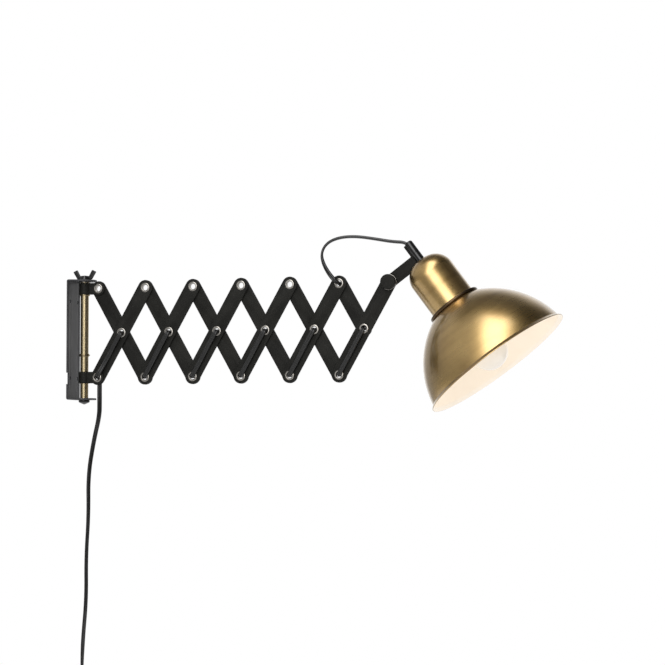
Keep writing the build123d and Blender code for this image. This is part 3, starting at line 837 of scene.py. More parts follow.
def settled(obj: bpy.types.Object, body: str, slot: str, *nodes: str) -> bpy.types.Object:
    """Puts a piece on its body and hides the CAD nodes that it stands for.

    Args:
        obj: the piece.
        body: the body that it moves with.
        slot: its material slot, which is not used.
        nodes: the CAD nodes that it stands for.

    Returns:
        The same object.
    """
    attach(obj, body)
    if nodes:
        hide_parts(*nodes)
    log.info("%s on %s, %d faces", obj.name, body, len(obj.data.polygons))
    return obj


# ---------------------------------------------------------------- sizes


@dataclass(frozen=True)
class Scissor:
    """The arm's pivots and links."""

    pitch: float = 125.0
    fold: float = 29.3
    top: float = 62.8
    first: float = 34.0
    cells: int = 6
    width: float = 18.4
    thick: float = 2.0
    gap: float = 0.2
    hole: float = 4.0

    def upper(self, column: int) -> np.ndarray:
        """Pivot of the upper row, 0 at the wall."""
        across = self.pitch * math.sin(math.radians(self.fold))
        return np.array([self.first + across * column, 0.0, self.top])

    def lower(self, column: int) -> np.ndarray:
        """Pivot of the lower row."""
        return self.upper(column) - [0, 0, self.pitch * math.cos(math.radians(self.fold))]

    def crossing(self, number: int) -> np.ndarray:
        """Where link pair number crosses, 1 at the wall."""
        return (self.lower(number - 1) + self.upper(number)) / 2


@dataclass(frozen=True)
class Bracket:
    """Wall bracket, tube and what is on them."""

    width: float = 40.0
    height: float = 147.0
    sheet: float = 2.0
    nose: float = 14.8
    tube_x: float = 15.8
    tube_r: float = 5.0
    bolt_r: float = 2.5


@dataclass(frozen=True)
class Head:
    """Head: places along its axis are measured from its reference point on the stem."""

    x: float = 430.2
    y: float = 1.1
    z: float = 100.4
    tilt: float = 53.3
    arm_width: float = 15.5
    stem_r: float = 5.0
    stem_bore: float = 3.6
    stem_top: float = -10.2
    leg: float = 2.3
    leg_top: float = -9.8
    cord_entry: float = 1.2
    cup_top: float = 16.0
    cup_r: float = 28.0
    shoulder: float = 22.0
    mouth: float = 80.5
    collar_r: float = 33.0
    collar_end: float = 84.5
    neck: float = 32.0
    rim: float = 90.0
    lip_start: float = 165.0
    curve: float = 109.5
    lip: float = 93.6
    lip_rise: float = 4.0
    holder_r: float = 14.0
    bulb_r: float = 22.5
    bulb_centre: float = 150.5
    base_r: float = 6.9

    def frame(self) -> Matrix:
        """Axis frame.

        Returns:
            The frame, with its Z along the head's axis towards the shade.
        """
        tilt = math.radians(self.tilt)
        along = Vector((math.cos(tilt), 0, -math.sin(tilt)))
        across = Vector((math.sin(tilt), 0, math.cos(tilt)))
        turn = Matrix((across, along.cross(across), along)).transposed().to_4x4()
        return Matrix.Translation(Vector((self.x, self.y, self.z)) * MM) @ turn


SCISSOR = Scissor()
BRACKET = Bracket()
HEAD = Head()
FRONT_LAYER = -(SCISSOR.gap + SCISSOR.thick) / 2
BACK_LAYER = -FRONT_LAYER
FRONT_FACE = -(SCISSOR.gap / 2 + SCISSOR.thick)
BACK_FACE = -FRONT_FACE


def upright_at(z: float = 0.0) -> Matrix:
    """Frame on the tube's axis, Z up."""
    return Matrix.Translation(Vector((BRACKET.tube_x, 0, z)) * MM)


def facing(y: float) -> Matrix:
    """Frame whose X and Y are the row's X and Z, at a given row Y, with its Z towards the camera."""
    return Matrix.Translation(Vector((0, y, 0)) * MM) @ Matrix.Rotation(math.pi / 2, 4, "X")


def across_at(centre: np.ndarray) -> Matrix:
    """Frame on a pivot with Z along the row's +Y, so that places along it are the row's Y."""
    return Matrix.Translation(Vector(centre) * MM) @ Matrix.Rotation(-math.pi / 2, 4, "X")


# ---------------------------------------------------------------- materials


class Finishes:
    """Every material of the lamp, made once."""

    def __init__(self) -> None:
        """Builds the materials."""
        head = HEAD.frame()
        self.bracket = PowderCoat(
            "bracket_grey", (0.048, 0.048, 0.051), grain=0.5, depth=0.03, rough=0.45, shine=0.2
        ).material()
        self.arm = PowderCoat(
            "arm_black", (0.0115, 0.0112, 0.0095), grain=0.55, depth=0.05, rough=0.52, shine=0.12
        ).material()
        self.gloss = Enamel("gloss_black", (0.0085, 0.0085, 0.0085), rough=0.14).material()
        self.tube = BrushedMetal(
            "tube_brass", (0.40, 0.33, 0.20), (0.30, 0.23, 0.12), rough=0.34, depth=0.0005, tarnish=0.1,
            axes=upright_at(),
        ).material()
        self.shade = BrushedMetal(
            "antique_brass", (0.52, 0.350, 0.135), (0.27, 0.155, 0.048), rough=0.30, pitch=0.34,
            depth=0.009, tarnish=0.62, coat=0.85, axes=head,
        ).material()
        # The shade's inside has a painted glow: its cream enamel emits as if lit by the bulb.
        self.inside = Enamel("cream_enamel_painted_glow", (0.91, 0.82, 0.70), rough=0.40, painted_glow=0.24).material()
        self.collar = BrushedMetal(
            "dark_bronze", (0.10, 0.065, 0.035), (0.030, 0.020, 0.012), rough=0.30, tarnish=0.7, axes=head
        ).material()
        self.nickel = BrushedMetal(
            "nickel", (0.30, 0.285, 0.26), (0.17, 0.16, 0.145), rough=0.22, tarnish=0.3, pitch=0.25,
            depth=0.002,
        ).material()
        self.steel = BrushedMetal(
            "zinc_steel", (0.55, 0.55, 0.54), (0.22, 0.22, 0.22), rough=0.30, tarnish=0.4, pitch=0.3
        ).material()
        self.flex = FlexSheath().material()
        self.moulded = Enamel(
            "moulded_black", (0.014, 0.014, 0.014), rough=0.38, peel=0.8, depth=0.03
        ).material()
        self.holder = Enamel(
            "holder_white", (0.78, 0.76, 0.71), rough=0.40, peel=1.0, depth=0.02
        ).material()
        self.opal = OpalGlass().material()


# ---------------------------------------------------------------- flex


class Side(Enum):
    """Side of the arm, with the sign of its Y."""

    FRONT = -1.0
    BACK = 1.0


def twin_section(half_width: float = 1.35, wire: float = 1.55, groove: float = 0.5) -> np.ndarray:
    """Section of flat twin flex: two round wires side by side with a bell-shaped groove between them.

    Args:
        half_width: from the middle to a wire's centre.
        wire: a wire's radius.
        groove: the groove's depth.

    Returns:
        The section's points, one row each.
    """
    right, left = arc((half_width, 0), wire, -90, 90, 12), arc((-half_width, 0), wire, 90, 270, 12)
    between = np.linspace(half_width, -half_width, 9)[1:-1]
    over = np.stack([between, wire - groove * np.exp(-((between / 0.55) ** 2))], -1)
    return chain(right, over, left, over[::-1] * [1, -1])


TWIN = twin_section()
SWEEP_STEP = 1.2
LACE_LIFT = 4.7
LACE_LIFT_OVER_CLAMP = 6.9


def laced(name: str, start: np.ndarray, end: np.ndarray, side: Side, over_clamp: bool) -> np.ndarray:
    """Line of the flex out of one eyelet, along the link's face and into the next.

    Args:
        name: the stretch's name.
        start: pivot that it comes out of.
        end: pivot that it goes into.
        side: which side of the arm it runs on.
        over_clamp: whether it first passes over a clamp's leaf.

    Returns:
        Points along the flex.
    """
    along, out = unit(end - start), np.array([0.0, side.value, 0.0])
    lifted = out * LACE_LIFT
    if over_clamp:
        high = start + out * LACE_LIFT_OVER_CLAMP
        route = [start, high, high + along * 7, start + lifted + along * 20]
    else:
        route = [start, start + lifted, start + lifted + along * LACE_LIFT]
    route += [end + lifted - along * LACE_LIFT, end + lifted, end]
    return resampled(routed(name, np.array(route)), SWEEP_STEP)


@dataclass(frozen=True)
class Flex:
    """The twin flex: laced along the arm, looped to the head, and hanging as the supply lead."""

    finishes: Finishes
    diameter: float = 0.0058  # metres
    coil_turns: int = 7
    coil_mid_r: float = 30.9
    coil_pitch: float = 5.0
    coil_x: float = 52.5
    coil_z: float = -446.0
    tail: float = 30.0

    def lace(self) -> None:
        """All stretches along the arm, each named after the CAD node that it stands for."""
        stretches = []
        for number in range(1, SCISSOR.cells + 1):
            low, middle = SCISSOR.lower(number - 1), SCISSOR.crossing(number)
            stretches.append((f"front_cord_{number}", f"front_link_{number}", low, middle, Side.FRONT))
            if number < SCISSOR.cells:
                far = SCISSOR.lower(number)
                stretches.append((f"back_cord_{number}", f"back_link_{number}", middle, far, Side.BACK))
        last = SCISSOR.crossing(SCISSOR.cells), SCISSOR.upper(SCISSOR.cells - 1)
        stretches.append(("half_link_cord", "half_link", *last, Side.BACK))
        for node, body, start, end, side in stretches:
            line = laced(node, start, end, side, node == "front_cord_1")
            wide = np.repeat(np.cross(unit(end - start), [0.0, 1.0, 0.0])[None], len(line), 0)
            obj = sweep(f"{node}_flex", line, wide, TWIN, self.finishes.flex)
            settled(obj, body, "cord_black", node)

    def loop(self) -> None:
        """Free loop from the last upper eyelet to the stem, in two lengths that meet."""
        eyelet = SCISSOR.upper(SCISSOR.cells - 1)
        steps = [
            (0, 0, 0), (0, -10.5, 0), (-8.4, -11.0, 8.7), (-17.0, -10.0, 22.7), (-20.1, -8.5, 35.7),
            (-13.6, -7.0, 47.9), (1.6, -5.5, 54.3), (21.5, -3.5, 55.2), (44.1, -1.0, 51.8), (64.3, 0.6, 48.0),
        ]
        axis = HEAD.frame()
        mouth = HEAD.stem_top - HEAD.cord_entry
        entry = [np.array(axis @ Vector((0, 0, place * MM))) / MM for place in (mouth, 0.0)]
        route = np.array([eyelet + step for step in steps] + entry)
        line = resampled(routed("loop_route", route), SWEEP_STEP)
        run = lengths(line) / lengths(line)[-1]
        turn = np.interp(run, [0, 0.10, 0.28, 1], [0, 15, 72, 84])
        wide = np.stack([np.cos(np.radians(turn)), -np.sin(np.radians(turn)), 0.25 * run], -1)
        middle = int(np.argmin(np.abs(run - 0.36)))
        spans = [(0, middle + 1, "half_link", "front_link_6"), (middle, len(line), "front_link_6", "head")]
        for number, (first, last, low, high) in enumerate(spans, 1):
            part, name = line[first:last], f"loop_flex_{number}"
            obj = sweep(name, part, wide[first:last], TWIN, self.finishes.flex)
            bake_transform(obj)
            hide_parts("loop_cord")

    def coil_radius(self, turn: np.ndarray) -> np.ndarray:
        """Radius after so many turns: in at a steady rate, then out again."""
        half = self.coil_turns / 2
        return self.coil_mid_r + self.coil_pitch * (np.abs(turn - half) - half / 2)

    def coil_point(self, turn: np.ndarray) -> np.ndarray:
        """Points of the coil after so many turns, the way out in a second layer.

        Args:
            turn: turns from the coil's start.

        Returns:
            The points, one row each.
        """
        angle = math.pi + TURN * turn
        radius = self.coil_radius(turn)
        climb = np.clip((turn - self.coil_turns / 2) * 2 + 0.5, 0, 1)
        y = 6.2 + self.coil_pitch * climb * climb * (3 - 2 * climb)
        x, z = self.coil_x + radius * np.cos(angle), self.coil_z + radius * np.sin(angle)
        return np.stack([x, y, z], -1)

    def lead_side(self, line: np.ndarray) -> np.ndarray:
        """Directions of the lead's wide side: swaying where it hangs, outwards round the coil.

        Args:
            line: points along the lead.

        Returns:
            One direction for each point.
        """
        run, hanging_end = lengths(line), 330
        sway = np.radians(np.interp(run, [0, 12, 60, 200, hanging_end], [0, 10, 50, 80, 70]))
        hanging = np.stack([np.cos(sway), np.sin(sway), 0 * sway], -1)
        outward = unit((line - [self.coil_x, 0, self.coil_z]) * [1, 0, 1])
        before_tail = np.clip((run[-1] - run) / 25, 0, 1)[:, None]
        wound = (outward + [0, 1, 0]) * before_tail + np.array([0, 1.4, 0]) * (1 - before_tail)
        near = np.clip((run - hanging_end) / 60, 0, 1)[:, None]
        return hanging * (1 - near) + wound * near

    def lead(self) -> None:
        """Supply lead, its coil and the tail, as one swept piece, with the plug and the tie."""
        eyelet = SCISSOR.lower(0)
        steps = [
            (0, 0, 0), (0, 5.6, 0), (-0.4, 5.6, -9.8), (-0.5, 6.2, -27.8), (-1.1, 7.6, -46.8),
            (-8.5, 8.4, -75.8), (-15.5, 7.6, -118.8), (-14.5, 7.3, -168.8), (-17.5, 7.0, -218.8),
            (-16.5, 6.4, -270.8), (-21.0, 6.2, -321.8),
        ]
        bit, whole = 0.001, self.coil_turns
        start, end = self.coil_point(np.array([0.0, bit])), self.coil_point(np.array([whole - bit, whole]))
        into, out = unit(start[1] - start[0]), unit(end[1] - end[0])
        turns = np.linspace(0, whole, whole * 16 + 1)
        route = np.concatenate(
            [
                [eyelet + step for step in steps],
                [start[0] - into * 35, start[0] - into * 5],
                self.coil_point(turns),
                [end[1] + out * 10, end[1] + out * self.tail],
            ]
        )
        line = resampled(routed("lead_route", route), SWEEP_STEP * 1.25)
        obj = sweep("supply_flex", line, self.lead_side(line), TWIN, self.finishes.flex)
        settled(obj, "lower_clamp", "cord_black", "supply_lead", "lead_coil")
        made = [*Plug(self.finishes).build(end[1] + out * self.tail, out), self.tie()]
        eyelet * MM

    def tie(self) -> bpy.types.Object:
        """Strap round the turns at the coil's top.

        Returns:
            The strap.
        """
        radii = self.coil_radius(np.arange(self.coil_turns) + 0.75)
        low, high = radii.min() - 3.9, radii.max() + 3.9
        strap = loop_of(boxed(6.2, (high - low) / 2, 2.4), 8)
        line = resampled(np.concatenate([strap, strap[:1]]), 0.8)
        centre = np.array([self.coil_x, 8.7, self.coil_z + (low + high) / 2])
        path = np.stack([0 * line[:, 0], line[:, 0], line[:, 1]], -1) + centre
        wide = np.repeat([[1.0, 0, 0]], len(path), 0)
        band = loop_of(boxed(2.9, 0.55, 0.4), 4)
        obj = sweep("coil_tie_strap", path, wide, band, self.finishes.moulded)
        return settled(obj, "lower_clamp", "tie_black", "coil_tie")


# ---------------------------------------------------------------- small pieces


def joined(name: str, *pieces: bpy.types.Object) -> bpy.types.Object:
    """Several pieces as one object, each keeping its own materials.

    Args:
        name: the new piece's name.
        pieces: what it is made of; the first one takes in the others.

    Returns:
        The joined object.
    """
    with bpy.context.temp_override(active_object=pieces[0], selected_editable_objects=list(pieces)):
        bpy.ops.object.join()
    pieces[0].name = name
    pieces[0].data.name = name
    return pieces[0]


def bead(radius: float, low: float, high: float, bore: float, soft: float = 0.4) -> np.ndarray:
    """Profile of a plain ring with softened outer rims."""
    under, over = (radius - soft, low + soft), (radius - soft, high - soft)
    return chain((bore, low), arc(under, soft, -90, 0, 5), arc(over, soft, 0, 90, 5), (bore, high))


@dataclass(frozen=True)
class Eyelet:
    """Tubular eyelet: a barrel through the sheets with a rolled flange at each end."""

    metal: bpy.types.Material
    bore: float = 3.5
    barrel: float = 4.0
    flange: float = 5.8
    rise: float = 0.8

    def build(self, name: str, pivot: np.ndarray, front: float, back: float) -> bpy.types.Object:
        """Makes the eyelet between two outer faces.

        The flange is a roll: it rises from the bore in a round lip of the roll's height and falls
        outwards in a flatter curve to the sheet.

        Args:
            name: the piece's name.
            pivot: the point that it is centred on.
            front: Y of the front face.
            back: Y of the back face.

        Returns:
            The new object.
        """
        lip, fall = self.rise, self.flange - self.bore - self.rise
        turn = np.linspace(0, math.pi / 2, 9)
        inner = np.stack([self.bore + lip * (1 - np.sin(turn)), front - lip * np.cos(turn)], -1)
        outer = np.stack([self.bore + lip + fall * np.sin(turn), front - lip * np.cos(turn) ** 0.75], -1)
        roll = chain(inner[:0:-1], outer)
        roll = roll[np.argsort(roll[:, 0], kind="stable")]
        half = chain((self.bore, front + 0.4), roll, (self.flange - 0.1, front), (self.barrel, front))
        return lathe(name, mirrored(half, front + back), across_at(pivot), self.metal, steps=48)


@dataclass(frozen=True)
class HexNut:
    """Hexagon nut whose radius at an angle is the lesser of the hexagon's side and the chamfer's cone."""

    corner: float
    low: float
    high: float
    bore: float

    def relief(self, angle: np.ndarray, radius: np.ndarray, along: np.ndarray) -> np.ndarray:
        """Radius cut to the hexagon's sides."""
        flat = self.corner * math.cos(math.pi / 6)
        return np.minimum(radius, flat / np.cos(np.mod(angle, math.pi / 3) - math.pi / 6))

    def build(self, name: str, frame: Matrix, metal: bpy.types.Material) -> bpy.types.Object:
        """Makes the nut.

        Args:
            name: the piece's name.
            frame: its axis frame.
            metal: the finish.

        Returns:
            The new object.
        """
        flat = self.corner * math.cos(math.pi / 6)
        edge = self.corner - flat
        cut = edge * 0.62
        face = [(self.bore, self.low), (flat * 0.97, self.low)]
        cone = [(flat + 0.4 * edge, self.low + cut * 0.45), (self.corner, self.low + cut)]
        rows = mirrored(chain(face, cone), self.low + self.high)
        return lathe(name, rows, frame, metal, steps=96, relief=self.relief)


def threaded(pitch: float, depth: float, low: float, high: float) -> Relief:
    """Relief of a screw thread between two places: a rounded saw that climbs one pitch a turn.

    Args:
        pitch: from crest to crest.
        depth: from crest to valley.
        low: where the thread begins.
        high: where it ends.

    Returns:
        The function for lathe.
    """

    def relief(angle: np.ndarray, radius: np.ndarray, along: np.ndarray) -> np.ndarray:
        """Radius less the thread's depth in its valleys, fading out at the ends.

        Args:
            angle: angle round the axis.
            radius: the profile's radius.
            along: place along the axis.

        Returns:
            The radius with the thread.
        """
        phase = along / pitch - angle / TURN
        valley = np.abs(np.mod(phase, 1.0) - 0.5) * 2
        fade = np.clip((along - low) / pitch, 0, 1) * np.clip((high - along) / pitch, 0, 1)
        return radius - depth * valley**1.3 * fade

    return relief


@dataclass(frozen=True)
class Plug:
    """Flat two-pin plug with a grip waist and a ribbed relief on its flex."""

    finishes: Finishes
    width: float = 34.0
    thick: float = 13.6
    length: float = 36.0
    face_round: float = 2.0
    neck_width: float = 11.0
    neck_thick: float = 9.0
    waist: float = 14.0
    grip: tuple[float, float, float] = (22.0, 6.0, 0.9)  # place, half length and depth of the hollow
    corner: float = 3.4  # exponent of the outline
    relief: float = 20.0
    rib: float = 2.5
    pin_r: float = 2.0
    pin_tip: float = 1.2
    pin_length: float = 19.0
    pin_spacing: float = 19.0

    def stacked(
        self, name: str, places: np.ndarray, sizes: Sequence[np.ndarray], corner: float, columns: int,
        sharp: float, frame: Matrix,
    ) -> bpy.types.Object:
        """Closed body of superellipses (w sgn(cos a)|cos a|^(2/n), t sgn(sin a)|sin a|^(2/n)).

        Args:
            name: the piece's name.
            places: height of each outline.
            sizes: w and t of each outline.
            corner: the exponent n; 2 gives an ellipse.
            columns: points in an outline.
            sharp: edges that turn by more than this, in degrees, stay sharp.
            frame: the plug's frame.

        Returns:
            The new object.
        """
        angle = np.linspace(0, TURN, columns, endpoint=False)
        waves = [np.sign(wave) * np.abs(wave) ** (2 / corner) for wave in (np.cos(angle), np.sin(angle))]
        flat = [size[:, None] * wave for size, wave in zip(sizes, waves)]
        points = np.stack([*flat, np.repeat(places[:, None], columns, 1)], -1)
        around = np.arange(columns)
        faces = quads(len(places), columns, False, True).tolist()
        faces += [around.tolist(), (around + (len(places) - 1) * columns).tolist()]
        mesh = bpy.data.meshes.new(name)
        mesh.from_pydata(moved(points.reshape(-1, 3), frame), [], faces)
        cleaned(mesh, sharp=sharp)
        return placed(name, mesh, self.finishes.moulded)

    def body(self, frame: Matrix) -> bpy.types.Object:
        """Moulded body, whose half sizes grow in a smooth step over the neck.

        Further on they have a shallow grip hollow and a round edge at the face.

        Args:
            frame: the plug's frame.

        Returns:
            The new object.
        """
        edge_start = self.length - self.face_round
        bend = np.sin(np.linspace(0, math.pi / 2, 8))[1:]
        s = np.concatenate([np.linspace(0, edge_start, 40), edge_start + self.face_round * bend])
        grow = np.clip(s / self.waist, 0, 1)
        grow = grow * grow * (3 - 2 * grow)
        place, spread, depth = self.grip
        hollow = depth * np.exp(-(((s - place) / spread) ** 2))
        edge = np.clip((s - edge_start) / self.face_round, 0, 1)
        back = self.face_round * (1 - np.sqrt(np.maximum(1 - edge**2, 0)))
        half_w = self.neck_width / 2 + (self.width - self.neck_width) / 2 * grow - hollow - back
        half_t = self.neck_thick / 2 + (self.thick - self.neck_thick) / 2 * grow - 0.6 * hollow - back
        return self.stacked("plug_body", s, (half_w, half_t), self.corner, 96, 50.0, frame)

    def sleeve(self, frame: Matrix) -> bpy.types.Object:
        """Ribbed relief that tapers from the neck to the flex.

        Args:
            frame: the plug's frame.

        Returns:
            The new object.
        """
        s = np.linspace(-self.relief, 0.5, 121)
        share = np.clip(1 + s / self.relief, 0, 1)
        rib = 0.45 * (0.5 + 0.5 * np.cos(TURN * s / self.rib)) * np.clip(-s / 2, 0, 1)
        sizes = (3.6 + 1.7 * share - rib, 2.3 + 2.0 * share - rib)
        return self.stacked("plug_relief", s, sizes, 2.0, 48, 60.0, frame)

    def build(self, top: np.ndarray, heading: np.ndarray) -> list[bpy.types.Object]:
        """Body, relief and pins, hanging from the flex's end.

        Args:
            top: where the flex enters the neck.
            heading: the direction that the flex runs in there.

        Returns:
            The pieces.
        """
        down, wide = Vector(heading), Vector((0, 1, 0))
        turn = Matrix((wide, down.cross(wide), down)).transposed().to_4x4()
        frame = Matrix.Translation(Vector(top) * MM) @ turn
        body = joined("plug_body", self.body(frame), self.sleeve(frame))
        settled(body, "lower_clamp", "plug_black", "plug")
        end, root, tip = self.length + self.pin_length, self.length - 1.0, self.pin_tip
        point = arc((self.pin_r - tip, end - tip), tip, 0, 90, 8)
        profile = chain((0, root), (self.pin_r, root), point, (0, end))
        pins = []
        for side in (-0.5, 0.5):
            at = frame @ Matrix.Translation(Vector((side * self.pin_spacing, 0, 0)) * MM)
            pins.append(lathe("pin", profile, at, self.finishes.nickel, steps=40, closed=False))
        both = joined("plug_pins_pair", *pins)
        settled(both, "lower_clamp", "nickel", "plug_pins")
        return [body, both]


# ---------------------------------------------------------------- wall side


@dataclass(frozen=True)
class WallSide:
    """Bracket, tube, bolt and wing nut, and the two clamps that turn on the tube."""

    finishes: Finishes
    screw_r: float = 2.25
    screw_y: float = 12.0
    screw_z: float = 47.0
    notch: Point = (14.0, 4.0, -47.5)  # width, depth and Z
    bend: float = 1.2
    tube_bore: float = 2.8
    bolt_above: float = 5.6
    strip: float = 14.0
    strip_eye: float = 8.2
    strip_hole: float = 4.0
    strip_mid: float = 6.1
    strip_turn: float = 3.0
    leaf_near: float = 0.96  # distances of the leaves' middles from the arm's middle plane
    leaf_far: float = 3.16

    def bracket(self) -> None:
        """Plate with two ears, cut flat and folded: a strip that narrows to a round nose at both ends."""
        size, reach = BRACKET, BRACKET.tube_x + BRACKET.nose
        mid_z, half = size.height / 2 - size.sheet / 2, size.width / 2
        corners = [(reach, mid_z), (size.sheet / 2, mid_z), (size.sheet / 2, -mid_z), (reach, -mid_z)]
        line = filleted(corners, [self.bend, self.bend], 10)
        whole = lengths(line)[-1]
        foot = reach - size.sheet
        near = np.array([foot - size.nose, half])
        spread = math.degrees(math.atan2(near[1], near[0]) + math.acos(size.nose / np.hypot(*near)))
        left = arc((size.nose, 0), size.nose, spread, 360 - spread, 40)
        right = arc((whole - size.nose, 0), size.nose, spread - 180, 180 - spread, 40)
        flat_start = reach - size.sheet / 2 - self.bend + self.bend * math.pi / 2
        wide, deep, notch_z = self.notch
        notch_u = flat_start + mid_z - self.bend - notch_z
        cut = [(1, half), (1, half - deep), (-1, half - deep), (-1, half)]
        notch = [(notch_u + side * wide / 2, v) for side, v in cut]
        outline = chain(
            left, (foot, -half), (whole - foot, -half), right, (whole - foot, half), notch, (foot, half)
        )
        holes = [circle((u, 0), size.bolt_r + 0.1, 32) for u in (size.nose, whole - size.nose)]
        for z in (self.screw_z, -self.screw_z):
            u = flat_start + mid_z - self.bend - z
            holes += [circle((u, v), self.screw_r, 24) for v in (self.screw_y, -self.screw_y)]
        blank = Blank(outline, holes, size.sheet, 0.35)
        obj = blank.bent("bracket_plate", line, facing(0.0), self.finishes.bracket)
        settled(obj, "bracket", "bracket_grey", "wall_bracket")

    def tube(self) -> None:
        """Brass tube and what sits on it: stop ring with its snap ring, rest ring and top washer."""
        at, end = upright_at(), BRACKET.height / 2 - BRACKET.sheet
        r, bore, brass = BRACKET.tube_r, self.tube_bore, self.finishes.tube
        profile = mirrored(chain((bore, -end), (r - 0.3, -end), (r, 0.3 - end)), 0.0)
        settled(lathe("brass_tube", profile, at, brass, steps=96), "bracket", "brass_rod", "swivel_tube")
        sleeve = lathe("sleeve", bead(5.9, -20.4, -17.0, r), at, brass, steps=96)
        snap = lathe("snap", bead(7.0, -19.2, -18.2, 5.8, 0.3), at, self.finishes.collar, steps=96)
        settled(joined("stop_ring_sleeve", sleeve, snap), "bracket", "brass_rod", "stop_ring")
        rest = lathe("rest_ring_bead", bead(6.4, 54.1, 55.5, r, 0.5), at, brass, steps=96)
        settled(rest, "bracket", "brass_rod", "rest_ring")
        disc = bead(7.4, 70.5, 71.5, r + 0.1, 0.25)
        washer = lathe("top_washer_disc", disc, at, self.finishes.nickel, steps=96)
        settled(washer, "bracket", "nickel", "top_washer")

    def bolt(self) -> None:
        """Bolt: low pointed head, plain shank and a thread that shows above the wing nut."""
        low, r = -BRACKET.height / 2, BRACKET.bolt_r
        top = BRACKET.height / 2 + self.bolt_above
        point = [(0, low - 5.5), (1.0, low - 5.35), (6.2, low - 3.05)]
        rim = [(6.6, low - 2.8), (6.75, low - 2.4), (6.75, low - 0.3), (6.5, low)]
        thread = straight(r, np.linspace(top - 3.0, top - 0.6, 60))
        profile = chain(point, rim, (r, low), thread, (r - 0.6, top), (0, top))
        relief = threaded(0.8, 0.42, top - 2.9, top - 0.4)
        obj = lathe("bolt", profile, upright_at(), self.finishes.gloss, steps=72, closed=False, relief=relief)
        settled(obj, "bracket", "gloss_black", "through_bolt")

    def wing_nut(self) -> None:
        """Hub in two steps and two wings that rise outwards and widen at their ends."""
        at, gloss = upright_at(BRACKET.height / 2), self.finishes.gloss
        foot = chain(arc((5.8, 0.4), 0.4, -90, 0, 4), arc((5.75, 2.4), 0.45, 0, 90, 4), (5.2, 2.9))
        crown = chain(arc((4.6, 4.8), 0.4, 0, 90, 4), (3.0, 5.2), (2.58, 4.8))
        hub = chain((2.58, 0.0), (5.9, 0.0), foot, crown)
        pieces = [lathe("hub", hub, at, gloss, steps=96)]
        under, over = [(3.0, 0.8, 0), (9.4, 0.8, 2.2), (15.1, 10.2, 1.0)], [(9.7, 12.8, 1.2), (5.2, 4.4, 1.2)]
        wing = Blank(loop_of([*under, *over, (3.0, 4.4, 0)], 6), [], 2.2, 0.7)
        for turn in (0, math.pi):
            stand = at @ Matrix.Rotation(turn, 4, "Z") @ Matrix.Rotation(math.pi / 2, 4, "X")
            pieces.append(wing.flat("wing", stand, gloss))
        settled(joined("wing_nut_body", *pieces), "wing_nut", "gloss_black", "wing_nut")

    def clamp(self, name: str, pivot: np.ndarray, leaf_a: float, leaf_b: float) -> bpy.types.Object:
        """Strip folded round the tube.

        The middle line runs in along leaf a, turns outwards in a small arc, goes round the tube in a
        large one and comes back along leaf b; each small arc touches the large one from outside.

        Args:
            name: the piece's name.
            pivot: the pivot that both eyes hold.
            leaf_a: Y of the front leaf's middle.
            leaf_b: Y of the back leaf's middle.

        Returns:
            The new object.
        """
        mid, small = self.strip_mid, self.strip_turn
        end_x = pivot[0] + self.strip_eye
        low, high = leaf_a - small, leaf_b + small
        low_x = BRACKET.tube_x + math.sqrt((mid + small) ** 2 - low**2)
        high_x = BRACKET.tube_x + math.sqrt((mid + small) ** 2 - high**2)
        low_at = math.degrees(math.atan2(low, low_x - BRACKET.tube_x))
        high_at = math.degrees(math.atan2(high, high_x - BRACKET.tube_x))
        near = arc((low_x, low), small, 90, 180 + low_at, 8)
        round_tube = arc((BRACKET.tube_x, 0), mid, low_at, high_at - 360, 56)
        far = arc((high_x, high), small, 180 + high_at, 270, 8)
        line = chain((end_x, leaf_a), near, round_tube[1:], far[1:], (end_x, leaf_b))
        whole, eye = lengths(line)[-1], self.strip_eye
        spread = math.degrees(math.asin(self.strip / 2 / eye))
        left = arc((eye, 0), eye, spread, 360 - spread, 40)
        right = arc((whole - eye, 0), eye, spread - 180, 180 - spread, 40)
        outline = chain(left, right)
        holes = [circle((u, 0), self.strip_hole, 40) for u in (eye, whole - eye)]
        at = Matrix.Translation(Vector((0, 0, pivot[2])) * MM)
        return Blank(outline, holes, BRACKET.sheet, 0.4).bent(name, line, at, self.finishes.arm)

    def clamps(self) -> None:
        """Both clamps with their eyelets; the lower clamp's leaves mirror the upper one's."""
        near, far, half = self.leaf_near, self.leaf_far, BRACKET.sheet / 2
        pairs = [("upper", SCISSOR.upper(0), -near, far), ("lower", SCISSOR.lower(0), -far, near)]
        for name, pivot, front, back in pairs:
            body = f"{name}_clamp"
            settled(self.clamp(f"{body}_strip", pivot, front, back), body, "arm_black", body)
        eyelet = Eyelet(self.finishes.nickel)
        for name, pivot, front, back in pairs:
            ring = eyelet.build(f"{name}_eyelet_ring", pivot, front - half, back + half)
            settled(ring, f"{name}_clamp", "nickel", f"{name}_eyelet")

    def build(self) -> None:
        """Builds all pieces."""
        self.bracket()
        self.tube()
        self.bolt()
        self.wing_nut()
        self.clamps()


# ---------------------------------------------------------------- arm


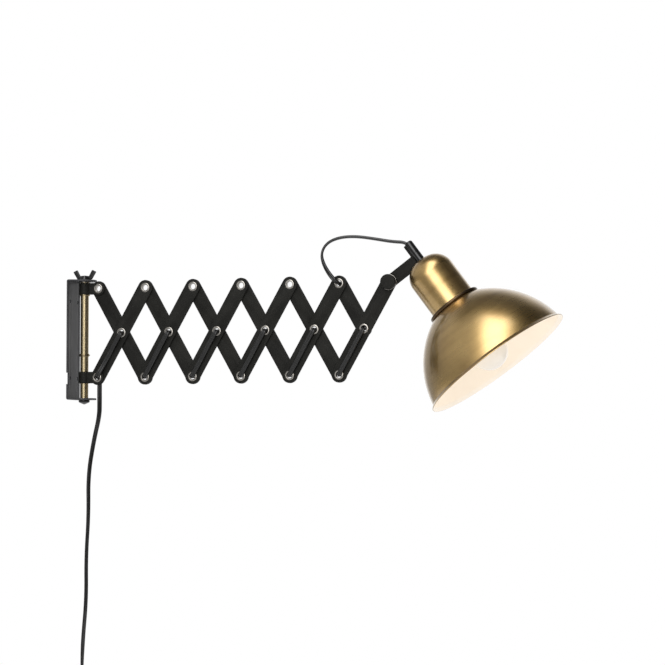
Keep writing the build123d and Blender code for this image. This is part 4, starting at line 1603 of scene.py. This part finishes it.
@dataclass(frozen=True)
class Arm:
    """Links of the scissor with their eyelets."""

    finishes: Finishes
    edge: float = 0.22
    play: float = 0.06  # between a back link and its eyelet
    bolt_hole: float = 3.06

    def link(
        self, name: str, ends: Sequence[np.ndarray], layer: float, holes: Sequence[tuple[np.ndarray, float]]
    ) -> bpy.types.Object:
        """Flat bar with round ends and softened edges from pivot to pivot.

        Args:
            name: the piece's name.
            ends: the two pivots.
            layer: Y of its middle plane.
            holes: centre and radius of each hole.

        Returns:
            The new object.
        """
        outline = bar(*[end[[0, 2]] for end in ends], SCISSOR.width / 2)
        rings = [circle(centre[[0, 2]], radius, 40) for centre, radius in holes]
        return Blank(outline, rings, SCISSOR.thick, self.edge).flat(name, facing(layer), self.finishes.arm)

    def build(self) -> None:
        """Builds every link and every set of eyelets.

        A front link holds its eyelets tightly and a back link turns on them. The first front link turns
        on the lower clamp's eyelet, and the last one takes the tilt joint's bolt.
        """
        own, running = SCISSOR.hole, SCISSOR.hole + self.play
        eyelet = Eyelet(self.finishes.nickel)
        for number in range(1, SCISSOR.cells + 1):
            first, last = number == 1, number == SCISSOR.cells
            low, middle, high = SCISSOR.lower(number - 1), SCISSOR.crossing(number), SCISSOR.upper(number)
            holes = [(low, running if first else own), (middle, own), (high, self.bolt_hole if last else own)]
            front = f"front_link_{number}"
            obj = self.link(f"{front}_bar", (low, high), FRONT_LAYER, holes)
            settled(obj, front, "arm_black", front)
            pivots = [low, middle, high][int(first) : 3 - int(last)]
            rings = [eyelet.build("ring", pivot, FRONT_FACE, BACK_FACE + self.play) for pivot in pivots]
            eyelets = joined(f"link_eyelet_rings_{number}", *rings)
            settled(eyelets, front, "nickel", f"link_eyelets_{number}")
            back = "half_link" if last else f"back_link_{number}"
            places = [SCISSOR.upper(number - 1), middle] + ([] if last else [SCISSOR.lower(number)])
            holes = [(place, running) for place in places]
            obj = self.link(f"{back}_bar", (places[0], places[-1]), BACK_LAYER, holes)
            settled(obj, back, "arm_black", back)


# ---------------------------------------------------------------- head


@dataclass(frozen=True)
class LampHead:
    """Arm and tilt joint, stem, cup, collar, shade, lampholder and bulb."""

    finishes: Finishes
    cap_face: float = -9.36
    cap_back: float = -2.96
    cap_r: float = 9.0
    bolt_r: float = 3.0
    bolt_end: float = 8.5
    cup_wall: float = 1.2
    shade_wall: float = 1.0
    shade_bore: float = 14.2
    holder_top: float = 62.0
    holder_mouth: float = 118.0
    ring_r: float = 19.5

    @property
    def axis(self) -> Matrix:
        """The head's axis frame."""
        return HEAD.frame()

    def turned(
        self, name: str, profile: np.ndarray, *materials: bpy.types.Material, **options: object
    ) -> bpy.types.Object:
        """Piece turned on the head's axis."""
        return lathe(name, profile, self.axis, *materials, **options)

    def arm(self) -> None:
        """Flat arm from the tilt joint to the stem, its cut edge following the cup's shoulder."""
        flat = self.axis @ Matrix.Rotation(math.pi / 2, 4, "X")
        pivot = flat.inverted() @ (Vector(SCISSOR.upper(SCISSOR.cells)) * MM)
        off, along, half = pivot.x / MM, pivot.y / MM, HEAD.arm_width / 2
        leg, stem, top = -(HEAD.stem_r + HEAD.leg), -HEAD.stem_r + 0.05, HEAD.leg_top
        centre, cut = (HEAD.shoulder - HEAD.cup_r, HEAD.cup_top + HEAD.shoulder), HEAD.shoulder + 0.3
        end = 270 - math.degrees(math.acos((centre[1] - along - half) / cut))
        inner = filleted([(off, along - half), (leg, along - half), (leg, top), (stem, top)], [1.15, 0.5], 6)
        eye, shoulder = arc((off, along), half, 90, 270, 32), arc(centre, cut, 270, end, 16)
        outline = chain(eye, inner[1:], (stem, centre[1] - cut), shoulder)
        hole = circle((off, along), self.bolt_r, 32)
        obj = Blank(outline, [hole], SCISSOR.thick, 0.35).flat("head_arm_plate", flat, self.finishes.arm)
        settled(obj, "head", "arm_black", "head_arm")

    def tilt_joint(self) -> None:
        """Round cap with its bolt, washer and nut."""
        at = across_at(SCISSOR.upper(SCISSOR.cells))
        face, back, end, r, soft = self.cap_face, self.cap_back, self.bolt_end, self.cap_r, 0.8
        edge = arc((r - soft, face + soft), soft, -90, 0, 8)
        front = chain((0, face + 0.12), (6.0, face + 0.04), edge, (r, back + 0.15), (8.85, back))
        bolt = chain((self.bolt_r, back), straight(self.bolt_r, np.linspace(6.6, end - 0.5, 32)))
        cap = chain(front, bolt, (2.5, end), (0, end))
        relief = threaded(1.0, 0.5, 6.8, end)
        obj = lathe("joint_cap_knob", cap, at, self.finishes.arm, steps=96, closed=False, relief=relief)
        settled(obj, "head", "arm_black", "joint_cap")
        disc = bead(9.4, back, back + 0.8, self.bolt_r, 0.2)
        washer = lathe("joint_washer_disc", disc, at, self.finishes.nickel, steps=96)
        settled(washer, "head", "nickel", "joint_washer")
        nut = HexNut(5.5, 2.1, 6.5, self.bolt_r).build("joint_hex_nut", at, self.finishes.steel)
        settled(nut, "head", "steel", "joint_nut")

    def stem(self) -> None:
        """Stem with its joint line and rolled mouth, and the nut inside the cup."""
        r, bore, top, end = HEAD.stem_r, HEAD.stem_bore, HEAD.stem_top, 70.0
        joint = [(r, 4.2), (r - 0.3, 4.4), (r - 0.3, 4.7), (r, 4.9)]
        roll = arc((r - 0.5, top + 0.5), 0.5, -90, 0, 5)
        mouth = arc((bore + 0.4, top + 0.4), 0.4, 180, 270, 4)
        pipe = chain(roll, joint, (r, end), (bore, end), mouth)
        obj = self.turned("stem_pipe", pipe, self.finishes.gloss, steps=64)
        settled(obj, "head", "gloss_black", "stem_tube")
        nut = HexNut(8.0, 17.35, 22.35, r).build("stem_hex_nut", self.axis, self.finishes.steel)
        settled(nut, "head", "steel", "stem_nut")
        bulge, cord_r, fit = arc((3.6, top - 0.5), 0.6, -90, 90, 6), 1.2, bore - 0.05
        bushing = chain((cord_r, top - 1.1), bulge, (fit, top + 0.2), (fit, top + 6), (cord_r, top + 6))
        settled(self.turned("stem_bushing", bushing, self.finishes.moulded, steps=48), "head", "plug_black")

    def cup(self) -> None:
        """Deep-drawn cup with a round shoulder and a faint bead at its mouth, and the dark collar."""
        r, s, wall = HEAD.cup_r, HEAD.shoulder, self.cup_wall
        top, mouth, bore = HEAD.cup_top, HEAD.mouth, HEAD.stem_r + 0.05
        centre = (r - s, top + s)
        outer = chain((bore, top), arc(centre, s, -90, 0, 40), (r, mouth - 0.2), (r - 0.2, mouth))
        inner = chain((r - wall, mouth), arc(centre, s - wall, 0, -90, 30), (bore, top + wall))
        obj = self.turned("cup", chain(outer, inner), self.finishes.shade)
        settled(obj, "head", "shade_metal", "socket_cup")
        ring = bead(HEAD.collar_r, mouth, HEAD.collar_end, 14.15, 1.6)
        settled(self.turned("collar", ring, self.finishes.collar), "head", "dark_ring", "collar_ring")

    def shade(self) -> None:
        """Spun bowl, brass outside and enamel inside, with a lip that flares out and is rolled.

        The bowl's arc has its centre on the middle line of the chord from neck to rim, so far off that
        the radius comes out as given.
        """
        start, wall, bore = HEAD.collar_end, self.shade_wall, self.shade_bore
        ends = np.array([[HEAD.neck, start], [HEAD.rim, HEAD.lip_start]])
        chord = ends[1] - ends[0]
        span = np.hypot(*chord)
        normal = np.array([-chord[1], chord[0]]) / span
        centre = ends.mean(0) + normal * math.sqrt(HEAD.curve**2 - (span / 2) ** 2)
        first, last = np.degrees(np.arctan2(*(ends - centre).T[::-1]))
        edge = np.array([HEAD.lip, HEAD.lip_start + HEAD.lip_rise])
        flare = ends[1] + [[0.9, 0.9], [2.2, 1.9]]
        roll = edge + [[-0.45, -1.15], [0, -0.75], [0, -0.3], [-0.3, 0], [-0.9, 0]]
        under = ends[1] + [[1.2, 2.2], [-0.4, 1.2]]
        outer = chain((bore, start), arc(centre, HEAD.curve, first, last, 72), flare, roll)
        inner = chain(under, arc(centre, HEAD.curve - wall, last, first, 72), (bore, start + wall))
        profile, metals = chain(outer, inner), (self.finishes.shade, self.finishes.inside)
        enamelled = (len(outer) - 1, len(profile) - 1)
        obj = self.turned("shade_bowl", profile, *metals, steps=192, second=enamelled)
        settled(obj, "head", "shade_metal", "shade")

    def holder(self) -> None:
        """Lampholder with grip ribs below the cup, its ring, and the bore for the bulb."""
        r, top, mouth, stem, bore = HEAD.holder_r, self.holder_top, self.holder_mouth, HEAD.stem_r + 0.05, 7.3
        flange = [(r, 78.0), (18.0, 78.0), (18.0, 80.5), (r, 80.5)]
        skirt = straight(r - 0.5, np.array([91.2, *np.linspace(92, 111, 5), 112.0]))
        lip = arc((r - 0.8, mouth - 0.8), 0.8, 0, 90, 6)
        outer = chain((stem, top), (r - 0.6, top), (r, top + 0.6), flange, (r, 90.6), skirt, (r, 112.6), lip)
        socket = [(8.1, mouth), (bore, mouth - 0.8), (bore, 76.0)]
        inner = chain(socket, (HEAD.stem_bore, 76.0), (HEAD.stem_bore, 70.0), (stem, 70.0))
        white, ring_r = self.finishes.holder, self.ring_r

        def ribs(angle: np.ndarray, radius: np.ndarray, along: np.ndarray) -> np.ndarray:
            """Low ribs on the skirt, fading at its ends."""
            fade = np.clip((along - 91.4) / 0.6, 0, 1) * np.clip((112 - along) / 0.8, 0, 1)
            return radius + 0.4 * (radius > r - 0.6) * fade * np.clip(np.cos(angle * 30), 0, 1)

        def grip(angle: np.ndarray, radius: np.ndarray, along: np.ndarray) -> np.ndarray:
            """Finger notches round the ring."""
            return radius - 0.7 * (radius > ring_r - 0.5) * np.clip(np.cos(angle * 18) - 0.2, 0, 1)

        body = self.turned("lampholder_body", chain(outer, inner), white, steps=240, relief=ribs)
        settled(body, "head", "holder_plastic", "lampholder")
        plain = bead(ring_r, 85.5, 90.5, r, 0.8)
        ring = chain(plain[:6], (ring_r, 86.9), (ring_r, 89.1), plain[7:])
        obj = self.turned("shade_ring_nut", ring, white, steps=288, relief=grip)
        settled(obj, "head", "holder_plastic", "shade_ring")

    def bulb(self) -> None:
        """Opal globe that narrows smoothly to its neck, and the screw base in the lampholder."""
        globe = arc((0, HEAD.bulb_centre), HEAD.bulb_r, -46, 90, 72)
        globe[-1, 0] = 0
        cuff = [(0, 115.6), (5.6, 115.6), (6.35, 116.0), (6.5, 118.6), (7.4, 120.2)]
        neck = [(8.9, 121.6), (10.1, 123.6), (11.2, 126.4), (12.7, 129.8)]
        obj = self.turned("bulb_globe", chain(cuff, neck, globe), self.finishes.opal, steps=96, closed=False)
        settled(obj, "head", "opal_glass", "bulb_glass")
        low, high = 98.0, 114.5
        foot = [(0, 76.1), (2.2, 76.2), (2.5, 77.0), (3.4, 92.0), (6.0, 96.0), (6.9, 97.2)]
        thread = straight(HEAD.base_r, np.linspace(low, high, 110))
        base = chain(foot, thread, (6.8, 117.4), (6.4, 117.6), (0, 117.6))
        options = {"steps": 72, "closed": False, "relief": threaded(2.8, 0.55, low, high)}
        obj = self.turned("bulb_screw_base", base, self.finishes.nickel, **options)
        settled(obj, "head", "nickel", "bulb_base")

    def build(self) -> None:
        """Builds all pieces."""
        self.arm()
        self.tilt_joint()
        self.stem()
        self.cup()
        self.shade()
        self.holder()
        self.bulb()


# ---------------------------------------------------------------- studio


@dataclass(frozen=True)
class Lamp:
    """One soft area light."""

    name: str
    place: Point
    aim: Point
    size: tuple[float, float]
    watts: float
    colour: Colour = (1.0, 1.0, 1.0)

    def build(self) -> None:
        """Adds the light."""
        data = bpy.data.lights.new(self.name, "AREA")
        data.shape = "RECTANGLE"
        data.size, data.size_y = self.size
        data.energy = self.watts
        data.color = self.colour
        obj = bpy.data.objects.new(self.name, data)
        aim = Vector(self.aim) - Vector(self.place)
        obj.matrix_world = Matrix.Translation(self.place) @ aim.to_track_quat("-Z", "Y").to_matrix().to_4x4()
        obj.visible_glossy = False
        bpy.context.scene.collection.objects.link(obj)


@dataclass(frozen=True)
class Studio:
    """Camera, soft lights, white world, pale floor and the dome that the metals reflect.

    Places and the floor's radius are in metres.
    """

    lens: float = 121.8
    eye: Point = (1.04558, -2.57384, -0.14529)
    right: Point = (0.96358, 0.26741, -0.00075)
    up: Point = (0.01568, -0.05368, 0.99844)
    ahead: Point = (-0.26695, 0.96209, 0.05591)
    floor_z: float = -0.56
    floor_r: float = 1.6
    ambient: float = 0.88
    dome_r: float = 3200.0  # millimetres
    dome_centre: Point = (0.40, 0.0, 0.0)

    def camera(self) -> None:
        """Camera at the photograph's place."""
        data = bpy.data.cameras.new("camera")
        data.lens, data.sensor_width = self.lens, 36.0
        data.clip_start, data.clip_end = 0.05, 50.0
        obj = bpy.data.objects.new("camera", data)
        turn = Matrix((self.right, self.up, tuple(-value for value in self.ahead))).transposed().to_4x4()
        obj.matrix_world = Matrix.Translation(self.eye) @ turn
        bpy.context.scene.collection.objects.link(obj)
        bpy.context.scene.camera = obj

    def world(self) -> None:
        """White for the camera, for reflections and through glass; a plain grey-white light otherwise."""
        world = bpy.data.worlds.new("studio")
        world.use_nodes = True
        bpy.context.scene.world = world
        tree = world.node_tree
        tree.nodes.clear()
        output = tree.nodes.new("ShaderNodeOutputWorld")
        mix = tree.nodes.new("ShaderNodeMixShader")
        for place, strength in ((1, self.ambient), (2, 1.0)):
            light = tree.nodes.new("ShaderNodeBackground")
            light.inputs["Color"].default_value = (1, 1, 1, 1)
            light.inputs["Strength"].default_value = strength
            tree.links.new(light.outputs[0], mix.inputs[place])
        path = tree.nodes.new("ShaderNodeLightPath")
        total = path.outputs["Is Camera Ray"]
        for name in ("Is Glossy Ray", "Is Transmission Ray"):
            add = tree.nodes.new("ShaderNodeMath")
            add.operation, add.use_clamp = "ADD", True
            tree.links.new(total, add.inputs[0])
            tree.links.new(path.outputs[name], add.inputs[1])
            total = add.outputs[0]
        tree.links.new(total, mix.inputs[0])
        tree.links.new(mix.outputs[0], output.inputs["Surface"])

    def floor(self) -> None:
        """Pale round floor below the lamp."""
        mesh = bpy.data.meshes.new("floor")
        ring = circle((0.25, 0.0), self.floor_r, 128)
        points = np.concatenate([ring, np.full((len(ring), 1), self.floor_z)], 1)
        mesh.from_pydata(points, [], [list(range(len(ring)))])
        graph = Graph("floor_paint")
        grain = graph.noise(graph.place(), 60.0, 2.0, 0.5)
        colour = graph.mix(grain, (0.86, 0.86, 0.86), (0.90, 0.90, 0.90))
        placed("floor", mesh, graph.finish(Base_Color=colour, Roughness=0.85))

    def dome(self) -> None:
        """Sphere that only reflections see, painted with what stands round the lamp.

        From its centre the left is mid grey and the right dark, a tall soft light stands in front and
        reaches overhead, the zenith is dark and the back is white.
        """
        rows, columns = 32, 64
        polar = np.linspace(0, math.pi, rows + 1)
        profile = np.stack([self.dome_r * np.sin(polar), self.dome_r * np.cos(polar)], -1)
        at = Matrix.Translation(Vector(self.dome_centre))
        graph = Graph("surroundings")
        way = graph.node("ShaderNodeVectorMath", {"operation": "NORMALIZE"}, {0: graph.place(at)}, "Vector")
        x, y, z = graph.split(way)
        left = 0.22 + 0.36 * z.step(-0.45, 0.45)
        dark = x.step(0.16, 0.42)
        sides = left * (1.0 - dark) + 0.09 * dark
        zenith = z.step(0.62, 0.86) * y.step(-0.30, 0.02)
        upright = x.step(-0.40, -0.10) * (1.0 - x.step(0.14, 0.42))
        key = upright * (1.0 - y.step(-0.40, -0.10)) * z.step(-0.14, 0.06)
        front = sides * (1.0 - 0.8 * zenith) + 3.6 * key
        back = y.step(0.72, 0.92)
        level = front * (1.0 - back) + back
        light = graph.join(level, level, level)
        material = graph.finish(Base_Color=(0, 0, 0), Emission_Color=light, Emission_Strength=1.0)
        material.cycles.emission_sampling = "NONE"
        obj = lathe("surroundings_dome", profile, at, material, steps=columns, closed=False)
        obj.visible_camera = False
        obj.visible_diffuse = False
        obj.visible_shadow = False
        obj.visible_transmission = False

    def build(self) -> None:
        """Builds everything but the camera, which comes first."""
        self.world()
        self.floor()
        self.dome()
        Lamp("key", (-0.4, -2.2, 1.9), (0.3, 0.0, 0.0), (1.2, 1.6), 16).build()
        Lamp("fill", (-1.6, -1.2, 0.4), (0.4, 0.0, 0.0), (1.2, 1.2), 5).build()


# ---------------------------------------------------------------- making


def main() -> None:
    """Camera and flex first, then the lamp from the wall outwards, then the studio."""
    logging.basicConfig(level=logging.INFO, format="%(name)s: %(message)s")
    studio, finishes = Studio(), Finishes()
    studio.camera()
    flex = Flex(finishes)
    flex.lead()
    flex.loop()
    flex.lace()
    WallSide(finishes).build()
    Arm(finishes).build()
    LampHead(finishes).build()
    studio.build()
    bpy.context.scene.view_settings.view_transform = "Standard"
    bpy.context.view_layer.update()


if __name__ == "__main__":
    main()
